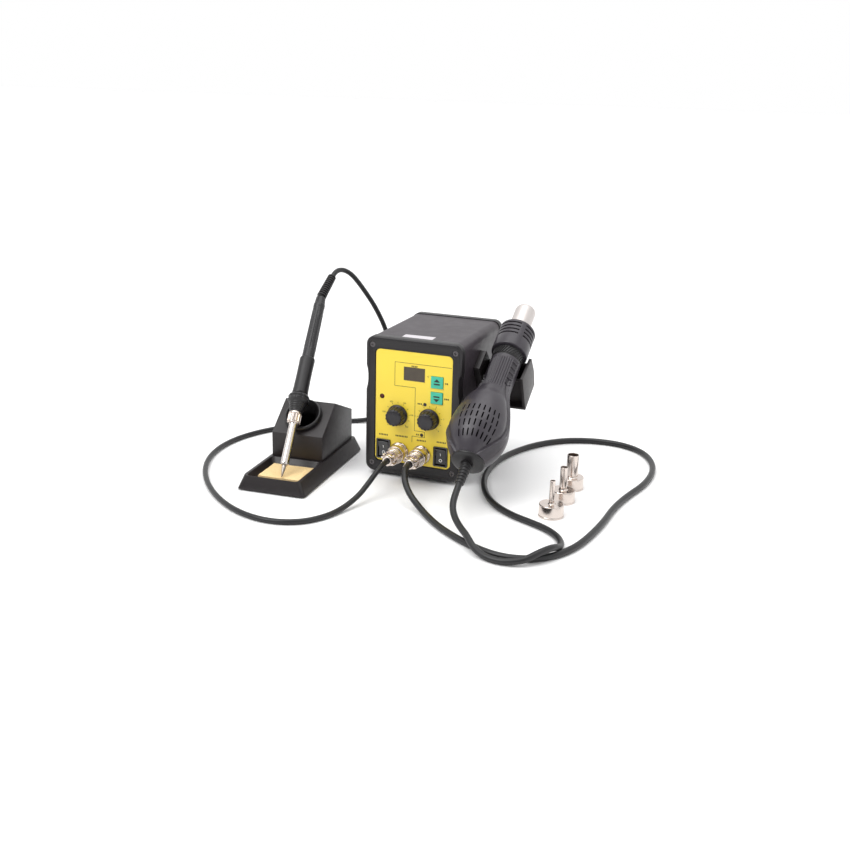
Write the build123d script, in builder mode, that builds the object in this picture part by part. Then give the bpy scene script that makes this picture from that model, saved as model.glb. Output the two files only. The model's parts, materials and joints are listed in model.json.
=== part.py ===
# Hot air rework station with a soldering iron: a bench case with two hand tools,
# a side holder for the hot air gun, a stand with a sponge for the iron, and three nozzles.
# Millimetres, +Z up, -Y is the front. The origin is the middle of the set's footprint on the bench.
import os
from math import cos, pi, radians, sin, sqrt, tan

from build123d import *

# ---- driving sizes -------------------------------------------------------
# place of the case's centre on the bench
station_x = -7.5
station_y = 48.5

case_width = 104.0
case_depth = 136.0
case_height = 146.0
foot_height = 4.0
foot_radius = 7.0
bezel_depth = 10.0
bezel_corner = 9.0
bezel_flange = 4.0
bezel_rim = 4.0
sheet = 1.2
cover_inset = 0.8
joint_gap = 0.15
running_gap = 0.3

# front panel, measured from the case's centre line and from the bench
label_width = 83.5
label_height = 120.0
label_centre_x = 0.75
label_centre_z = 77.3
label_thickness = 0.4
label_corner = 5.0
display_width = 23.3
display_height = 14.5
display_x = 1.35
display_z = 114.25
button_size = (13.0, 12.2)
button_x = 26.4
button_heights = (108.7, 92.3)
lamp_x = -33.9
lamp_z = 87.2
lamp_radius = 2.5
trimmer_places = ((13.7, 83.9), (10.8, 50.6))
trimmer_radius = 1.5
knob_x = (-16.1, 18.9)
knob_z = 69.0
knob_base_radius = 11.2
knob_nose_radius = 9.0
knob_length = 14.0
shaft_radius = 3.0
switch_x = (-31.6, 32.3)
switch_z = 30.2
switch_size = (15.6, 21.4)
rocker_size = (11.6, 16.6)
rocker_tilt = 10.0
plug_x = (-13.2, 11.1)
plug_z = 29.6
plug_reach = 36.0
socket_radius = 10.3
ring_radius = 9.7
screw_inset = (7.0, 7.0)
screw_head_radius = 2.8
screw_shank_radius = 1.5
screw_length = 9.0

# rear panel
inlet_size = (27.0, 19.8)
inlet_depth = 20.0
inlet_cavity = 15.0
inlet_x = -22.0
inlet_z = 34.0
fuse_x = 22.0
fuse_z = 34.0
fuse_radius = 7.0

# hot air gun, measured along its axis from the end cap
gun_pitch = 32.5
gun_from_case = (79.5, -119.3, 49.6)
gun_wall = 2.2
gun_sections = (
    (0.0, 17.0, 0.0), (9.0, 23.0, 1.0), (19.0, 28.0, 1.6), (31.0, 30.6, 2.0),
    (43.0, 29.8, 2.2), (56.0, 27.2, 3.2), (69.0, 23.6, 3.4), (81.0, 19.2, 1.6),
    (93.0, 16.4, 0.3), (104.0, 15.8, 0.0),
)
grip_end = 133.0
cap_start = 145.0
cap_end = 181.0
cap_radius = 19.2
cap_wall = 2.0
barrel_start = 150.0
barrel_end = 213.7
barrel_radius = 11.2
barrel_wall = 1.0
impeller_place = 36.0
impeller_radius = 21.0
impeller_height = 12.0
gun_relief_length = 30.0

# side holder, in the gun's own axes
holder_walls = (116.0, 150.0)
holder_inner_x = -21.5
holder_outer_x = 19.7
holder_wall = 3.0
holder_floor = 40.5
holder_lip = 9.0

# soldering iron, measured along its axis from the tip
iron_rest = (4.3, -62.6, 12.7)
iron_lean = (-0.1025, 0.7204, 0.686)
iron_nut_start = 64.5
iron_collar_start = 75.0
iron_collar_radius = 11.6
iron_grip_start = 97.0
iron_grip_end = 143.0
iron_grip_radius = 8.6
iron_handle_end = 223.0
iron_relief_lean = (0.02, 0.82, 0.572)
iron_relief_length = 34.0

# iron stand
stand_from_case = (-118.0, -85.2)
stand_turn = 3.8
stand_length = 163.0
stand_width = 74.0
stand_base_height = 16.0
stand_foot = 1.5
block_wall = 3.0
funnel_radius = 20.0
funnel_height = 5.4
sponge_size = (45.0, 39.0, 7.0)

# nozzles: x, y from the case's centre, and the outlet radius
nozzle_places = ((160.7, -102.7, 2.65), (161.3, -60.4, 3.85), (160.3, -20.0, 6.0))
nozzle_names = ("nozzle_small", "nozzle_medium", "nozzle_large")
nozzle_bore_radius = 11.45
nozzle_wall = 0.8
nozzle_collar = 12.0
nozzle_tube = 24.5

# cords: points from the hand tool to the plug, chosen by hand
iron_cord_diameter = 5.5
gun_cord_diameter = 6.4
iron_route = (
    (-149.83, 88.1, 185.33), (-149.72, 92.7, 188.55), (-148.9, 98.5, 190.6), (-147.1, 104.3, 191.0),
    (-144.4, 109.7, 189.6), (-140.8, 114.2, 186.5), (-135.8, 118.5, 180.4), (-127.5, 125.5, 166.0),
    (-117.0, 134.0, 146.0), (-106.0, 143.0, 117.0), (-100.5, 146.5, 86.0), (-99.5, 147.5, 55.0),
    (-102.5, 148.5, 28.0),
    (-113.5, 146.5, 9.0), (-131.5, 140.5, 2.9), (-154.5, 126.5, 2.9), (-181.5, 103.5, 2.9),
    (-208.0, 75.5, 2.9), (-229.0, 40.5, 2.9), (-238.5, 1.5, 2.9), (-235.0, -40.5, 2.9),
    (-219.0, -81.5, 2.9), (-193.0, -119.5, 2.9), (-160.5, -152.5, 2.9), (-123.0, -177.0, 2.9),
    (-86.5, -185.5, 2.9), (-57.5, -175.5, 2.9), (-41.5, -153.5, 2.9), (-34.5, -129.5, 3.5),
    (-28.5, -106.5, 9.0), (-25.5, -90.0, 16.5), (-22.5, -75.5, 25.0), (-20.7, -62.5, 29.5),
    (-20.7, -51.6, 29.6),
)
gun_route = (
    (72.0, -96.15, 33.45), (72.0, -107.1, 26.47), (74.0, -118.5, 19.5), (81.0, -131.0, 14.5),
    (91.5, -144.5, 11.8), (102.5, -158.5, 11.4), (113.5, -171.5, 6.5), (127.5, -179.5, 3.3),
    (144.5, -182.5, 3.3), (161.5, -177.5, 5.5), (173.5, -165.5, 11.4), (181.0, -151.5, 11.4),
    (183.5, -136.5, 5.5), (180.5, -120.5, 3.3), (172.5, -106.5, 3.3), (158.5, -94.5, 3.3),
    (140.5, -85.5, 3.3), (120.5, -76.5, 3.3), (100.5, -61.5, 3.3), (84.5, -41.5, 3.3),
    (72.5, -17.5, 3.3), (63.5, 10.5, 3.3), (59.5, 40.5, 3.3), (60.5, 72.5, 3.3),
    (68.5, 106.5, 3.3), (84.5, 140.5, 3.3), (108.5, 167.5, 3.3), (139.5, 181.5, 3.3),
    (172.5, 182.5, 3.3), (200.5, 166.5, 3.3), (217.5, 136.5, 3.3), (224.5, 100.5, 3.3),
    (222.5, 60.5, 3.3), (212.5, 20.5, 3.3), (206.5, -17.5, 3.3), (205.5, -55.5, 3.3),
    (201.5, -92.5, 3.3), (195.5, -124.5, 3.3), (183.0, -151.5, 3.3), (163.5, -168.0, 3.3),
    (139.5, -172.5, 3.3), (114.5, -164.5, 3.3), (90.5, -150.5, 3.3), (66.5, -132.5, 3.3),
    (46.5, -112.5, 3.4), (32.5, -99.5, 6.5), (20.0, -89.5, 12.0), (10.4, -79.5, 19.0),
    (5.0, -69.5, 26.2), (3.6, -60.5, 29.6), (3.6, -51.6, 29.6),
)


# ---- helpers -------------------------------------------------------------
def side_of(along):
    """The level direction square to an axis that isn't vertical."""
    return Vector(along.Y, -along.X, 0).normalized()


def profile_plane(origin, along):
    """A plane through an axis: its x is the radius and its y runs along the axis."""
    across = side_of(along)
    return Plane(origin=origin, x_dir=across, z_dir=across.cross(along))


def cross_plane(origin, along, offset=0.0):
    """A plane square to an axis, at a distance along it."""
    return Plane(origin=origin, x_dir=side_of(along), z_dir=along).offset(offset)


def turned(label, origin, along, *outlines):
    """Solids of revolution about an axis, one for each outline of (radius, along) points."""
    with BuildPart() as piece:
        for outline in outlines:
            with BuildSketch(profile_plane(origin, along)):
                with BuildLine():
                    Polyline(*outline, close=True)
                make_face()
            revolve(axis=Axis(origin, along))
    piece.part.label = label
    return piece


def standing(label, x, y, *outlines):
    """The same about a vertical axis."""
    with BuildPart() as piece:
        for outline in outlines:
            with BuildSketch(Plane(origin=(x, y, 0), x_dir=(1, 0, 0), z_dir=(0, -1, 0))):
                with BuildLine():
                    Polyline(*outline, close=True)
                make_face()
            revolve(axis=Axis((x, y, 0), (0, 0, 1)))
    piece.part.label = label
    return piece


# ---- frames --------------------------------------------------------------
front_y = station_y - case_depth / 2
rear_y = station_y + case_depth / 2
case_mid_z = foot_height + case_height / 2
out_front = Vector(0, -1, 0)
out_rear = Vector(0, 1, 0)
front = Plane(origin=(station_x, front_y, 0), x_dir=(1, 0, 0), z_dir=(0, -1, 0))
rear = Plane(origin=(station_x, rear_y, 0), x_dir=(-1, 0, 0), z_dir=(0, 1, 0))
panel_depth = bezel_flange + joint_gap
panel_plate = 2.0


def on_front(x, z, depth=0.0):
    return Vector(station_x + x, front_y + depth, z)


# ---- case ----------------------------------------------------------------
window_width = label_width + 2.0
window_height = label_height + 2.0
screw_x = case_width / 2 - screw_inset[0]
screw_low = foot_height + screw_inset[1] + 2.2
screw_high = foot_height + case_height - screw_inset[1] - 2.2
notch_depth = 2.0
notch_half = 13.0
notch_radius = (notch_half**2 + notch_depth**2) / (2 * notch_depth)
notch_z = 106.0


def on_outline(face, edge):
    """True for the edges of a bezel's outer outline on its face, not those of its openings."""
    place = face.to_local_coords(edge.center())
    far_x = abs(place.X) > case_width / 2 - 3.2
    far_z = abs(place.Y - case_mid_z) > case_height / 2 - 3.2
    return abs(place.Z) < 0.01 and (far_x or far_z)


def bezel(label, face, window):
    """A moulded end frame: a flange with a window, and a rim that turns back round the cover."""
    with BuildPart() as frame:
        with BuildSketch(face):
            with Locations((0, case_mid_z)):
                RectangleRounded(case_width, case_height, bezel_corner)
        extrude(amount=-bezel_depth)
        with BuildSketch(face.offset(-bezel_depth)):
            with Locations((0, case_mid_z)):
                inner = (case_width - 2 * bezel_rim, case_height - 2 * bezel_rim)
                RectangleRounded(*inner, bezel_corner - bezel_rim)
        extrude(amount=bezel_depth - bezel_flange, mode=Mode.SUBTRACT)
        with BuildSketch(face):
            with Locations((window[2], window[3])):
                RectangleRounded(window[0], window[1], label_corner + 1.0)
        extrude(amount=-bezel_flange, mode=Mode.SUBTRACT)
        with BuildSketch(face):
            for side in (-1, 1):
                with Locations((side * (case_width / 2 - notch_depth + notch_radius), notch_z)):
                    Circle(notch_radius)
        extrude(amount=-bezel_depth, mode=Mode.SUBTRACT)
        with BuildSketch(face):
            with Locations(*[(x, z) for x in (-screw_x, screw_x) for z in (screw_low, screw_high)]):
                Circle(screw_head_radius + 0.4)
        extrude(amount=-2.4, mode=Mode.SUBTRACT)
        with BuildSketch(face):
            with Locations(*[(x, z) for x in (-screw_x, screw_x) for z in (screw_low, screw_high)]):
                Circle(screw_shank_radius + 0.05)
        extrude(amount=-bezel_flange, mode=Mode.SUBTRACT)
        chamfer([edge for edge in frame.edges() if on_outline(face, edge)], 1.2)
    frame.part.label = label
    return frame


front_window = (window_width, window_height, label_centre_x, label_centre_z)
rear_window = (window_width, window_height, -label_centre_x, label_centre_z)
front_bezel = bezel("front_bezel", front, front_window)
rear_bezel = bezel("rear_bezel", rear, rear_window)

plate_width = case_width - 2 * bezel_rim - 2 * joint_gap
plate_height = case_height - 2 * bezel_rim - 2 * joint_gap
pad_rise = panel_depth - 1.0
hole_gap = 0.3

with BuildPart() as front_panel:
    with BuildSketch(front.offset(-panel_depth)):
        with Locations((0, case_mid_z)):
            RectangleRounded(plate_width, plate_height, bezel_corner - bezel_rim)
    extrude(amount=-panel_plate)
    with BuildSketch(front.offset(-panel_depth)):
        with Locations((label_centre_x, label_centre_z)):
            RectangleRounded(window_width - 0.4, window_height - 0.4, label_corner + 0.8)
    extrude(amount=pad_rise)
    with BuildSketch(front.offset(-panel_depth - panel_plate)):
        with Locations((display_x, display_z)):
            Rectangle(display_width, display_height)
        for height in button_heights:
            with Locations((button_x, height)):
                Rectangle(button_size[0] + 2 * hole_gap, button_size[1] + 2 * hole_gap)
        with Locations((lamp_x, lamp_z)):
            Circle(lamp_radius + joint_gap)
        with Locations(*trimmer_places):
            Circle(trimmer_radius + joint_gap)
        for x in knob_x:
            with Locations((x, knob_z)):
                Circle(4.6)
        for x in switch_x:
            with Locations((x, switch_z)):
                Rectangle(switch_size[0] - 2.0, switch_size[1] - 2.0)
        for x in plug_x:
            with Locations((x, plug_z)):
                Circle(8.2)
        with Locations(*[(x, z) for x in (-screw_x, screw_x) for z in (screw_low, screw_high)]):
            Circle(screw_shank_radius + 0.05)
    extrude(amount=panel_plate + pad_rise, mode=Mode.SUBTRACT)
front_panel.part.label = "front_panel"

label_depth = panel_depth - pad_rise
with BuildPart() as panel_label:
    with BuildSketch(front.offset(-label_depth)):
        with Locations((label_centre_x, label_centre_z)):
            RectangleRounded(label_width, label_height, label_corner)
        with Locations((display_x, display_z)):
            Rectangle(display_width, display_height, mode=Mode.SUBTRACT)
        for height in button_heights:
            with Locations((button_x, height)):
                Rectangle(*[size + 2 * hole_gap for size in button_size], mode=Mode.SUBTRACT)
        with Locations((lamp_x, lamp_z)):
            Circle(lamp_radius + joint_gap, mode=Mode.SUBTRACT)
        with Locations(*trimmer_places):
            Circle(trimmer_radius + joint_gap, mode=Mode.SUBTRACT)
        for x in knob_x:
            with Locations((x, knob_z)):
                Circle(4.6, mode=Mode.SUBTRACT)
        for x in switch_x:
            with Locations((x, switch_z)):
                Rectangle(switch_size[0] - 2.0, switch_size[1] - 2.0, mode=Mode.SUBTRACT)
        for x in plug_x:
            with Locations((x, plug_z)):
                Circle(8.2, mode=Mode.SUBTRACT)
    extrude(amount=label_thickness)
panel_label.part.label = "panel_label"
skin_depth = label_depth - label_thickness

with BuildPart() as rear_panel:
    with BuildSketch(rear.offset(-panel_depth)):
        with Locations((0, case_mid_z)):
            RectangleRounded(plate_width, plate_height, bezel_corner - bezel_rim)
        with Locations((-inlet_x, inlet_z)):
            Rectangle(inlet_size[0] + 0.4, inlet_size[1] + 0.4, mode=Mode.SUBTRACT)
        with Locations((-fuse_x, fuse_z)):
            Circle(fuse_radius - 1.0, mode=Mode.SUBTRACT)
        with Locations(*[(x, z) for x in (-screw_x, screw_x) for z in (screw_low, screw_high)]):
            Circle(screw_shank_radius + 0.05, mode=Mode.SUBTRACT)
        with Locations((0, 110)):
            with GridLocations(9.0, 8.0, 7, 5):
                SlotOverall(7.0, 3.0, mode=Mode.SUBTRACT)
    extrude(amount=-panel_plate)
rear_panel.part.label = "rear_panel"

cover_length = case_depth - 2 * bezel_depth - 2 * joint_gap
cover_outer = case_width / 2 - cover_inset
cover_top = foot_height + case_height - cover_inset
bottom_z = foot_height + cover_inset
corner_outer = bezel_corner - cover_inset
with BuildPart() as top_cover:
    with BuildSketch(front.offset(-bezel_depth - joint_gap)):
        with Locations((0, (cover_top + bottom_z) / 2)):
            RectangleRounded(2 * cover_outer, cover_top - bottom_z, corner_outer)
        with Locations((0, (cover_top + bottom_z) / 2)):
            RectangleRounded(
                2 * (cover_outer - sheet), cover_top - bottom_z - 2 * sheet, corner_outer - sheet,
                mode=Mode.SUBTRACT,
            )
        with Locations((0, bottom_z)):
            Rectangle(2 * cover_outer + 2, 2 * corner_outer, mode=Mode.SUBTRACT)
    extrude(amount=-cover_length)
top_cover.part.label = "top_cover"

base_half = cover_outer - sheet - joint_gap
lip_height = 16.0
with BuildPart() as base_plate:
    with BuildSketch(front.offset(-bezel_depth - joint_gap)):
        with Locations((0, bottom_z)):
            Rectangle(2 * base_half, sheet, align=(Align.CENTER, Align.MIN))
        for side in (-1, 1):
            with Locations((side * (base_half - sheet / 2), bottom_z)):
                Rectangle(sheet, lip_height, align=(Align.CENTER, Align.MIN))
    extrude(amount=-cover_length)
base_plate.part.label = "base_plate"

stand_x = station_x + stand_from_case[0]
stand_y = station_y + stand_from_case[1]
stand = Plane(
    origin=(stand_x, stand_y, 0),
    x_dir=(cos(radians(stand_turn)), sin(radians(stand_turn)), 0),
    z_dir=(0, 0, 1),
)
stand_feet_places = [(x, y) for x in (-24.0, 24.0) for y in (-70.0, 68.0)]
with BuildPart() as rubber_feet:
    with BuildSketch(Plane.XY):
        with Locations((station_x, station_y)):
            with GridLocations(2 * (base_half - 12.0), cover_length - 26.0, 2, 2):
                Circle(foot_radius)
    extrude(amount=bottom_z, taper=4)
    with BuildSketch(stand):
        with Locations(*stand_feet_places):
            Circle(4.0)
    extrude(amount=stand_foot)
rubber_feet.part.label = "rubber_feet"

# ---- display, lamp and buttons -------------------------------------------
with BuildPart() as display_window:
    with BuildSketch(front.offset(-skin_depth - 0.3)):
        with Locations((display_x, display_z)):
            Rectangle(display_width - 0.2, display_height - 0.2)
    extrude(amount=-1.5)
display_window.part.label = "display_window"

board_depth = 22.0
power_lamp = turned(
    "power_lamp", on_front(lamp_x, lamp_z, skin_depth), out_front,
    ((0, 0.8), (1.6, 0.4), (lamp_radius, -0.6), (lamp_radius, -board_depth + 2), (0, -board_depth + 2)),
)

with BuildPart() as calibration_trimmers:
    with BuildSketch(front.offset(-skin_depth - 0.8)):
        with Locations(*trimmer_places):
            Circle(trimmer_radius)
    extrude(amount=-(board_depth - skin_depth - 0.8 - joint_gap))
calibration_trimmers.part.label = "calibration_trimmers"


def push_button(label, height):
    """A square key with a softened face, over its own small stem."""
    with BuildPart() as key:
        with BuildSketch(front.offset(-panel_depth - panel_plate)):
            with Locations((button_x, height)):
                Rectangle(*button_size)
        extrude(amount=panel_depth + panel_plate - skin_depth + 1.2)
        top = key.faces().sort_by(Axis.Y)[0]
        fillet(top.edges(), 0.5)
        with BuildSketch(front.offset(-panel_depth - panel_plate)):
            with Locations((button_x, height)):
                Rectangle(4.0, 4.0)
        extrude(amount=-(board_depth - panel_depth - panel_plate - 1.5))
    key.part.label = label
    return key


up_button = push_button("up_button", button_heights[0])
down_button = push_button("down_button", button_heights[1])

# ---- knobs and their potentiometers --------------------------------------
pot_depth = panel_depth + panel_plate
pot_body = 9.0
with BuildPart() as potentiometers:
    for x in knob_x:
        with BuildSketch(front.offset(-pot_depth)):
            with Locations((x, knob_z)):
                Circle(8.5)
                Circle(shaft_radius + 0.05, mode=Mode.SUBTRACT)
        extrude(amount=-pot_body)
        with BuildSketch(front.offset(-pot_depth)):
            with Locations((x, knob_z)):
                Circle(4.4)
                Circle(shaft_radius + 0.05, mode=Mode.SUBTRACT)
        extrude(amount=pot_depth - skin_depth - 0.5)
potentiometers.part.label = "potentiometers"


def dial_knob(label, x):
    """A skirted knob with a fluted waist and a flat nose, bored for its shaft."""
    origin = on_front(x, knob_z, skin_depth)
    with BuildPart() as knob:
        with BuildSketch(profile_plane(origin, out_front)):
            with BuildLine():
                Polyline(
                    (0, 0.6), (knob_base_radius, 0.6), (knob_base_radius, 2.6),
                    (knob_base_radius - 1.2, 3.6), (knob_nose_radius + 0.6, 4.4),
                    (knob_nose_radius, knob_length - 1.0), (knob_nose_radius - 1.0, knob_length),
                    (0, knob_length), close=True,
                )
            make_face()
        revolve(axis=Axis(origin, out_front))
        with BuildSketch(cross_plane(origin, out_front, 4.4)):
            with PolarLocations(knob_nose_radius + 1.0, 14):
                Circle(1.3)
        extrude(amount=knob_length, mode=Mode.SUBTRACT)
        with BuildSketch(cross_plane(origin, out_front, 0.6)):
            Circle(shaft_radius)
        extrude(amount=8.0, mode=Mode.SUBTRACT)
    knob.part.label = label
    return knob


def pot_shaft(label, x):
    origin = on_front(x, knob_z, skin_depth)
    back = -(pot_depth + pot_body - skin_depth) + 1.0
    return turned(
        label, origin, out_front, ((0, back), (shaft_radius, back), (shaft_radius, 8.6), (0, 8.6))
    )


iron_temperature_knob = dial_knob("iron_temperature_knob", knob_x[0])
air_flow_knob = dial_knob("air_flow_knob", knob_x[1])
iron_knob_shaft = pot_shaft("iron_knob_shaft", knob_x[0])
air_knob_shaft = pot_shaft("air_knob_shaft", knob_x[1])

# ---- rocker switches -----------------------------------------------------
switch_depth = 16.0
with BuildPart() as switch_housings:
    for x in switch_x:
        with BuildSketch(front.offset(-skin_depth)):
            with Locations((x, switch_z)):
                RectangleRounded(*switch_size, 1.2)
        extrude(amount=1.6)
        with BuildSketch(front.offset(-skin_depth)):
            with Locations((x, switch_z)):
                Rectangle(switch_size[0] - 2.4, switch_size[1] - 2.4)
        extrude(amount=-switch_depth)
        with BuildSketch(front.offset(-skin_depth + 1.6)):
            with Locations((x, switch_z)):
                Rectangle(rocker_size[0] + 2 * running_gap, rocker_size[1] + 2 * running_gap + 1.6)
        extrude(amount=-9.0, mode=Mode.SUBTRACT)
switch_housings.part.label = "switch_housings"

rocker_half = rocker_size[1] / 2
rocker_pivot_depth = skin_depth + 1.4


def rocker(label, x):
    """A rocker with a shallow V face: its lower half stands out while the switch is off."""
    side = Plane(
        origin=(station_x + x - rocker_size[0] / 2, front_y + rocker_pivot_depth, switch_z),
        x_dir=(0, -1, 0),
        z_dir=(1, 0, 0),
    )
    lean = tan(radians(rocker_tilt))
    with BuildPart() as key:
        with BuildSketch(side):
            with BuildLine():
                Polyline(
                    (1.5, 0), (1.5 + rocker_half * lean * 0.15, rocker_half),
                    (-2.2, rocker_half - 0.4), (-4.2, 0), (-1.2, -rocker_half + 0.4),
                    (1.5 + rocker_half * lean * 1.7, -rocker_half), close=True,
                )
            make_face()
        extrude(amount=rocker_size[0])
    key.part.label = label
    return key


iron_power_rocker = rocker("iron_power_rocker", switch_x[0])
air_power_rocker = rocker("air_power_rocker", switch_x[1])

# ---- panel sockets, plugs, coupling rings and cable clamps ---------------
ring_start = 3.8
ring_end = 15.0
shell_end = 25.0
with BuildPart() as panel_sockets:
    for x in plug_x:
        origin = on_front(x, plug_z, skin_depth)
        with BuildSketch(profile_plane(origin, out_front)):
            with BuildLine():
                Polyline(
                    (0, -14), (8.0, -14), (8.0, 0), (socket_radius, 0), (socket_radius, 2.4),
                    (socket_radius - 1.0, 3.4), (8.4, 3.4), (8.4, 6.0), (0, 6.0), close=True,
                )
            make_face()
        revolve(axis=Axis(origin, out_front))
panel_sockets.part.label = "panel_sockets"

with BuildPart() as plug_shells:
    for x in plug_x:
        origin = on_front(x, plug_z, skin_depth)
        with BuildSketch(profile_plane(origin, out_front)):
            with BuildLine():
                Polyline(
                    (0, 6.15), (7.6, 6.15), (7.6, ring_end + 0.4), (8.8, ring_end + 0.4),
                    (8.8, 19.0), (8.2, 19.8), (8.2, shell_end), (0, shell_end), close=True,
                )
            make_face()
        revolve(axis=Axis(origin, out_front))
plug_shells.part.label = "plug_shells"


def coupling_ring(label, x):
    """The threaded ring that locks a plug, grooved round its grip and free on the plug."""
    origin = on_front(x, plug_z, skin_depth)
    with BuildPart() as ring:
        with BuildSketch(profile_plane(origin, out_front)):
            with BuildLine():
                Polyline(
                    (8.8, ring_start), (ring_radius - 0.6, ring_start), (ring_radius, ring_start + 0.6),
                    (ring_radius, ring_end - 0.6), (ring_radius - 0.6, ring_end), (7.9, ring_end),
                    (7.9, 6.5), (8.8, 6.5), close=True,
                )
            make_face()
        revolve(axis=Axis(origin, out_front))
        with BuildSketch(cross_plane(origin, out_front, ring_start + 3.0)):
            with PolarLocations(ring_radius, 18):
                Rectangle(0.8, 0.8)
        extrude(amount=ring_end - ring_start - 5.0, mode=Mode.SUBTRACT)
    ring.part.label = label
    return ring


iron_coupling_ring = coupling_ring("iron_coupling_ring", plug_x[0])
gun_coupling_ring = coupling_ring("gun_coupling_ring", plug_x[1])

cord_socket = 2.5
clamp_length = plug_reach - shell_end - joint_gap
with BuildPart() as cable_clamps:
    for x, diameter in zip(plug_x, (iron_cord_diameter, gun_cord_diameter)):
        with BuildSketch(front.offset(-skin_depth + shell_end + joint_gap)):
            with Locations((x, plug_z)):
                Rectangle(14.4, 5.4)
                Circle(6.0)
        extrude(amount=clamp_length - 1.0)
        with BuildSketch(front.offset(-skin_depth + plug_reach - 1.0 - cord_socket)):
            with Locations((x, plug_z)):
                Circle(diameter / 2 + 0.6)
        extrude(amount=clamp_length, mode=Mode.SUBTRACT)
        with BuildSketch(front.offset(-skin_depth + shell_end + joint_gap + 2.0)):
            with Locations((x, plug_z)):
                Rectangle(22.0, 1.0)
        extrude(amount=clamp_length, mode=Mode.SUBTRACT)
cable_clamps.part.label = "cable_clamps"

# ---- screws ---------------------------------------------------------------
with BuildPart() as case_screws:
    for face in (front, rear):
        for x in (-screw_x, screw_x):
            for z in (screw_low, screw_high):
                with BuildSketch(face.offset(-2.4)):
                    with Locations((x, z)):
                        Circle(screw_head_radius)
                extrude(amount=1.9)
                with BuildSketch(face.offset(-2.4)):
                    with Locations((x, z)):
                        Circle(screw_shank_radius)
                extrude(amount=-screw_length)
                with BuildSketch(face.offset(-0.5)):
                    with Locations((x, z)):
                        Rectangle(3.4, 0.8)
                        Rectangle(0.8, 3.4)
                extrude(amount=-1.2, mode=Mode.SUBTRACT)
case_screws.part.label = "case_screws"

# ---- inside the case ------------------------------------------------------
with BuildPart() as circuit_boards:
    with BuildSketch(front.offset(-skin_depth - 2.4)):
        with Locations((display_x, display_z)):
            Rectangle(display_width - 1.0, display_height - 1.0)
    extrude(amount=-(board_depth - skin_depth - 2.4 - joint_gap))
    with BuildSketch(front.offset(-board_depth)):
        with Locations((2.0, 93.0)):
            Rectangle(84.0, 84.0)
    extrude(amount=-1.6)
    with BuildSketch(Plane.XY.offset(bottom_z + sheet + 6.0)):
        with Locations((station_x, station_y - 26.0)):
            Rectangle(82.0, 50.0)
    extrude(amount=1.6)
    for x in (-36.0, 36.0):
        for y in (-46.0, -6.0):
            with BuildSketch(Plane.XY.offset(bottom_z + sheet)):
                with Locations((station_x + x, station_y + y)):
                    Circle(3.0)
            extrude(amount=6.0)
circuit_boards.part.label = "circuit_boards"

with BuildPart() as transformer:
    with BuildSketch(Plane.XY.offset(bottom_z + sheet)):
        with Locations((station_x, station_y + 18.0)):
            Rectangle(66.0, 26.0)
    extrude(amount=56.0)
    with BuildSketch(Plane.XY.offset(bottom_z + sheet + 10.0)):
        with Locations((station_x, station_y + 18.0)):
            Rectangle(44.0, 40.0)
    extrude(amount=36.0)
transformer.part.label = "transformer"

with BuildPart() as mains_inlet:
    with BuildSketch(rear.offset(-panel_depth + 0.05)):
        with Locations((-inlet_x, inlet_z)):
            RectangleRounded(inlet_size[0] + 6.0, inlet_size[1] + 5.0, 2.5)
    extrude(amount=2.2)
    with BuildSketch(rear.offset(-panel_depth + 0.05)):
        with Locations((-inlet_x, inlet_z)):
            Rectangle(*inlet_size)
    extrude(amount=-inlet_depth)
    with BuildSketch(rear.offset(-panel_depth + 2.25)):
        with Locations((-inlet_x, inlet_z)):
            Rectangle(inlet_size[0] - 3.4, inlet_size[1] - 3.4)
    extrude(amount=-inlet_cavity, mode=Mode.SUBTRACT)
    with BuildSketch(rear.offset(-panel_depth + 2.25 - inlet_cavity)):
        with Locations(*[(-inlet_x + x, inlet_z - 2.0) for x in (-7.0, 0.0, 7.0)]):
            Rectangle(2.0, 4.0)
    extrude(amount=inlet_cavity - 3.0)
mains_inlet.part.label = "mains_inlet"

fuse_holder = turned(
    "fuse_holder", Vector(station_x + fuse_x, rear_y - panel_depth + 0.05, fuse_z), out_rear,
    (
        (0, -24), (5.8, -24), (5.8, 0), (fuse_radius + 1.5, 0), (fuse_radius + 1.5, 1.8),
        (fuse_radius - 0.8, 2.4), (fuse_radius - 1.2, 6.5), (fuse_radius - 2.0, 7.0), (0, 7.0),
    ),
)

# ---- hot air gun ----------------------------------------------------------
gun_origin = Vector(
    station_x + gun_from_case[0], station_y + gun_from_case[1], gun_from_case[2]
)
gun_along = Vector(0, cos(radians(gun_pitch)), sin(radians(gun_pitch)))
gun_up = Vector(0, -sin(radians(gun_pitch)), cos(radians(gun_pitch)))
gun_side = profile_plane(gun_origin, gun_along)


def gun_plane(offset):
    """A plane square to the gun's axis, its y pointing to the gun's underside."""
    return cross_plane(gun_origin, gun_along, offset)


def gun_point(offset, up=0.0):
    return gun_origin + gun_along * offset + gun_up * up


gun_screw_radius = 1.4
gun_screw_planes = [
    Plane(origin=gun_point(along, -down) + Vector(side * 7.0, 0, 0), x_dir=(1, 0, 0), z_dir=gun_up)
    for along, down in ((22.0, 25.6), (62.0, 20.4), (100.0, 14.2))
    for side in (-1, 1)
]


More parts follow.
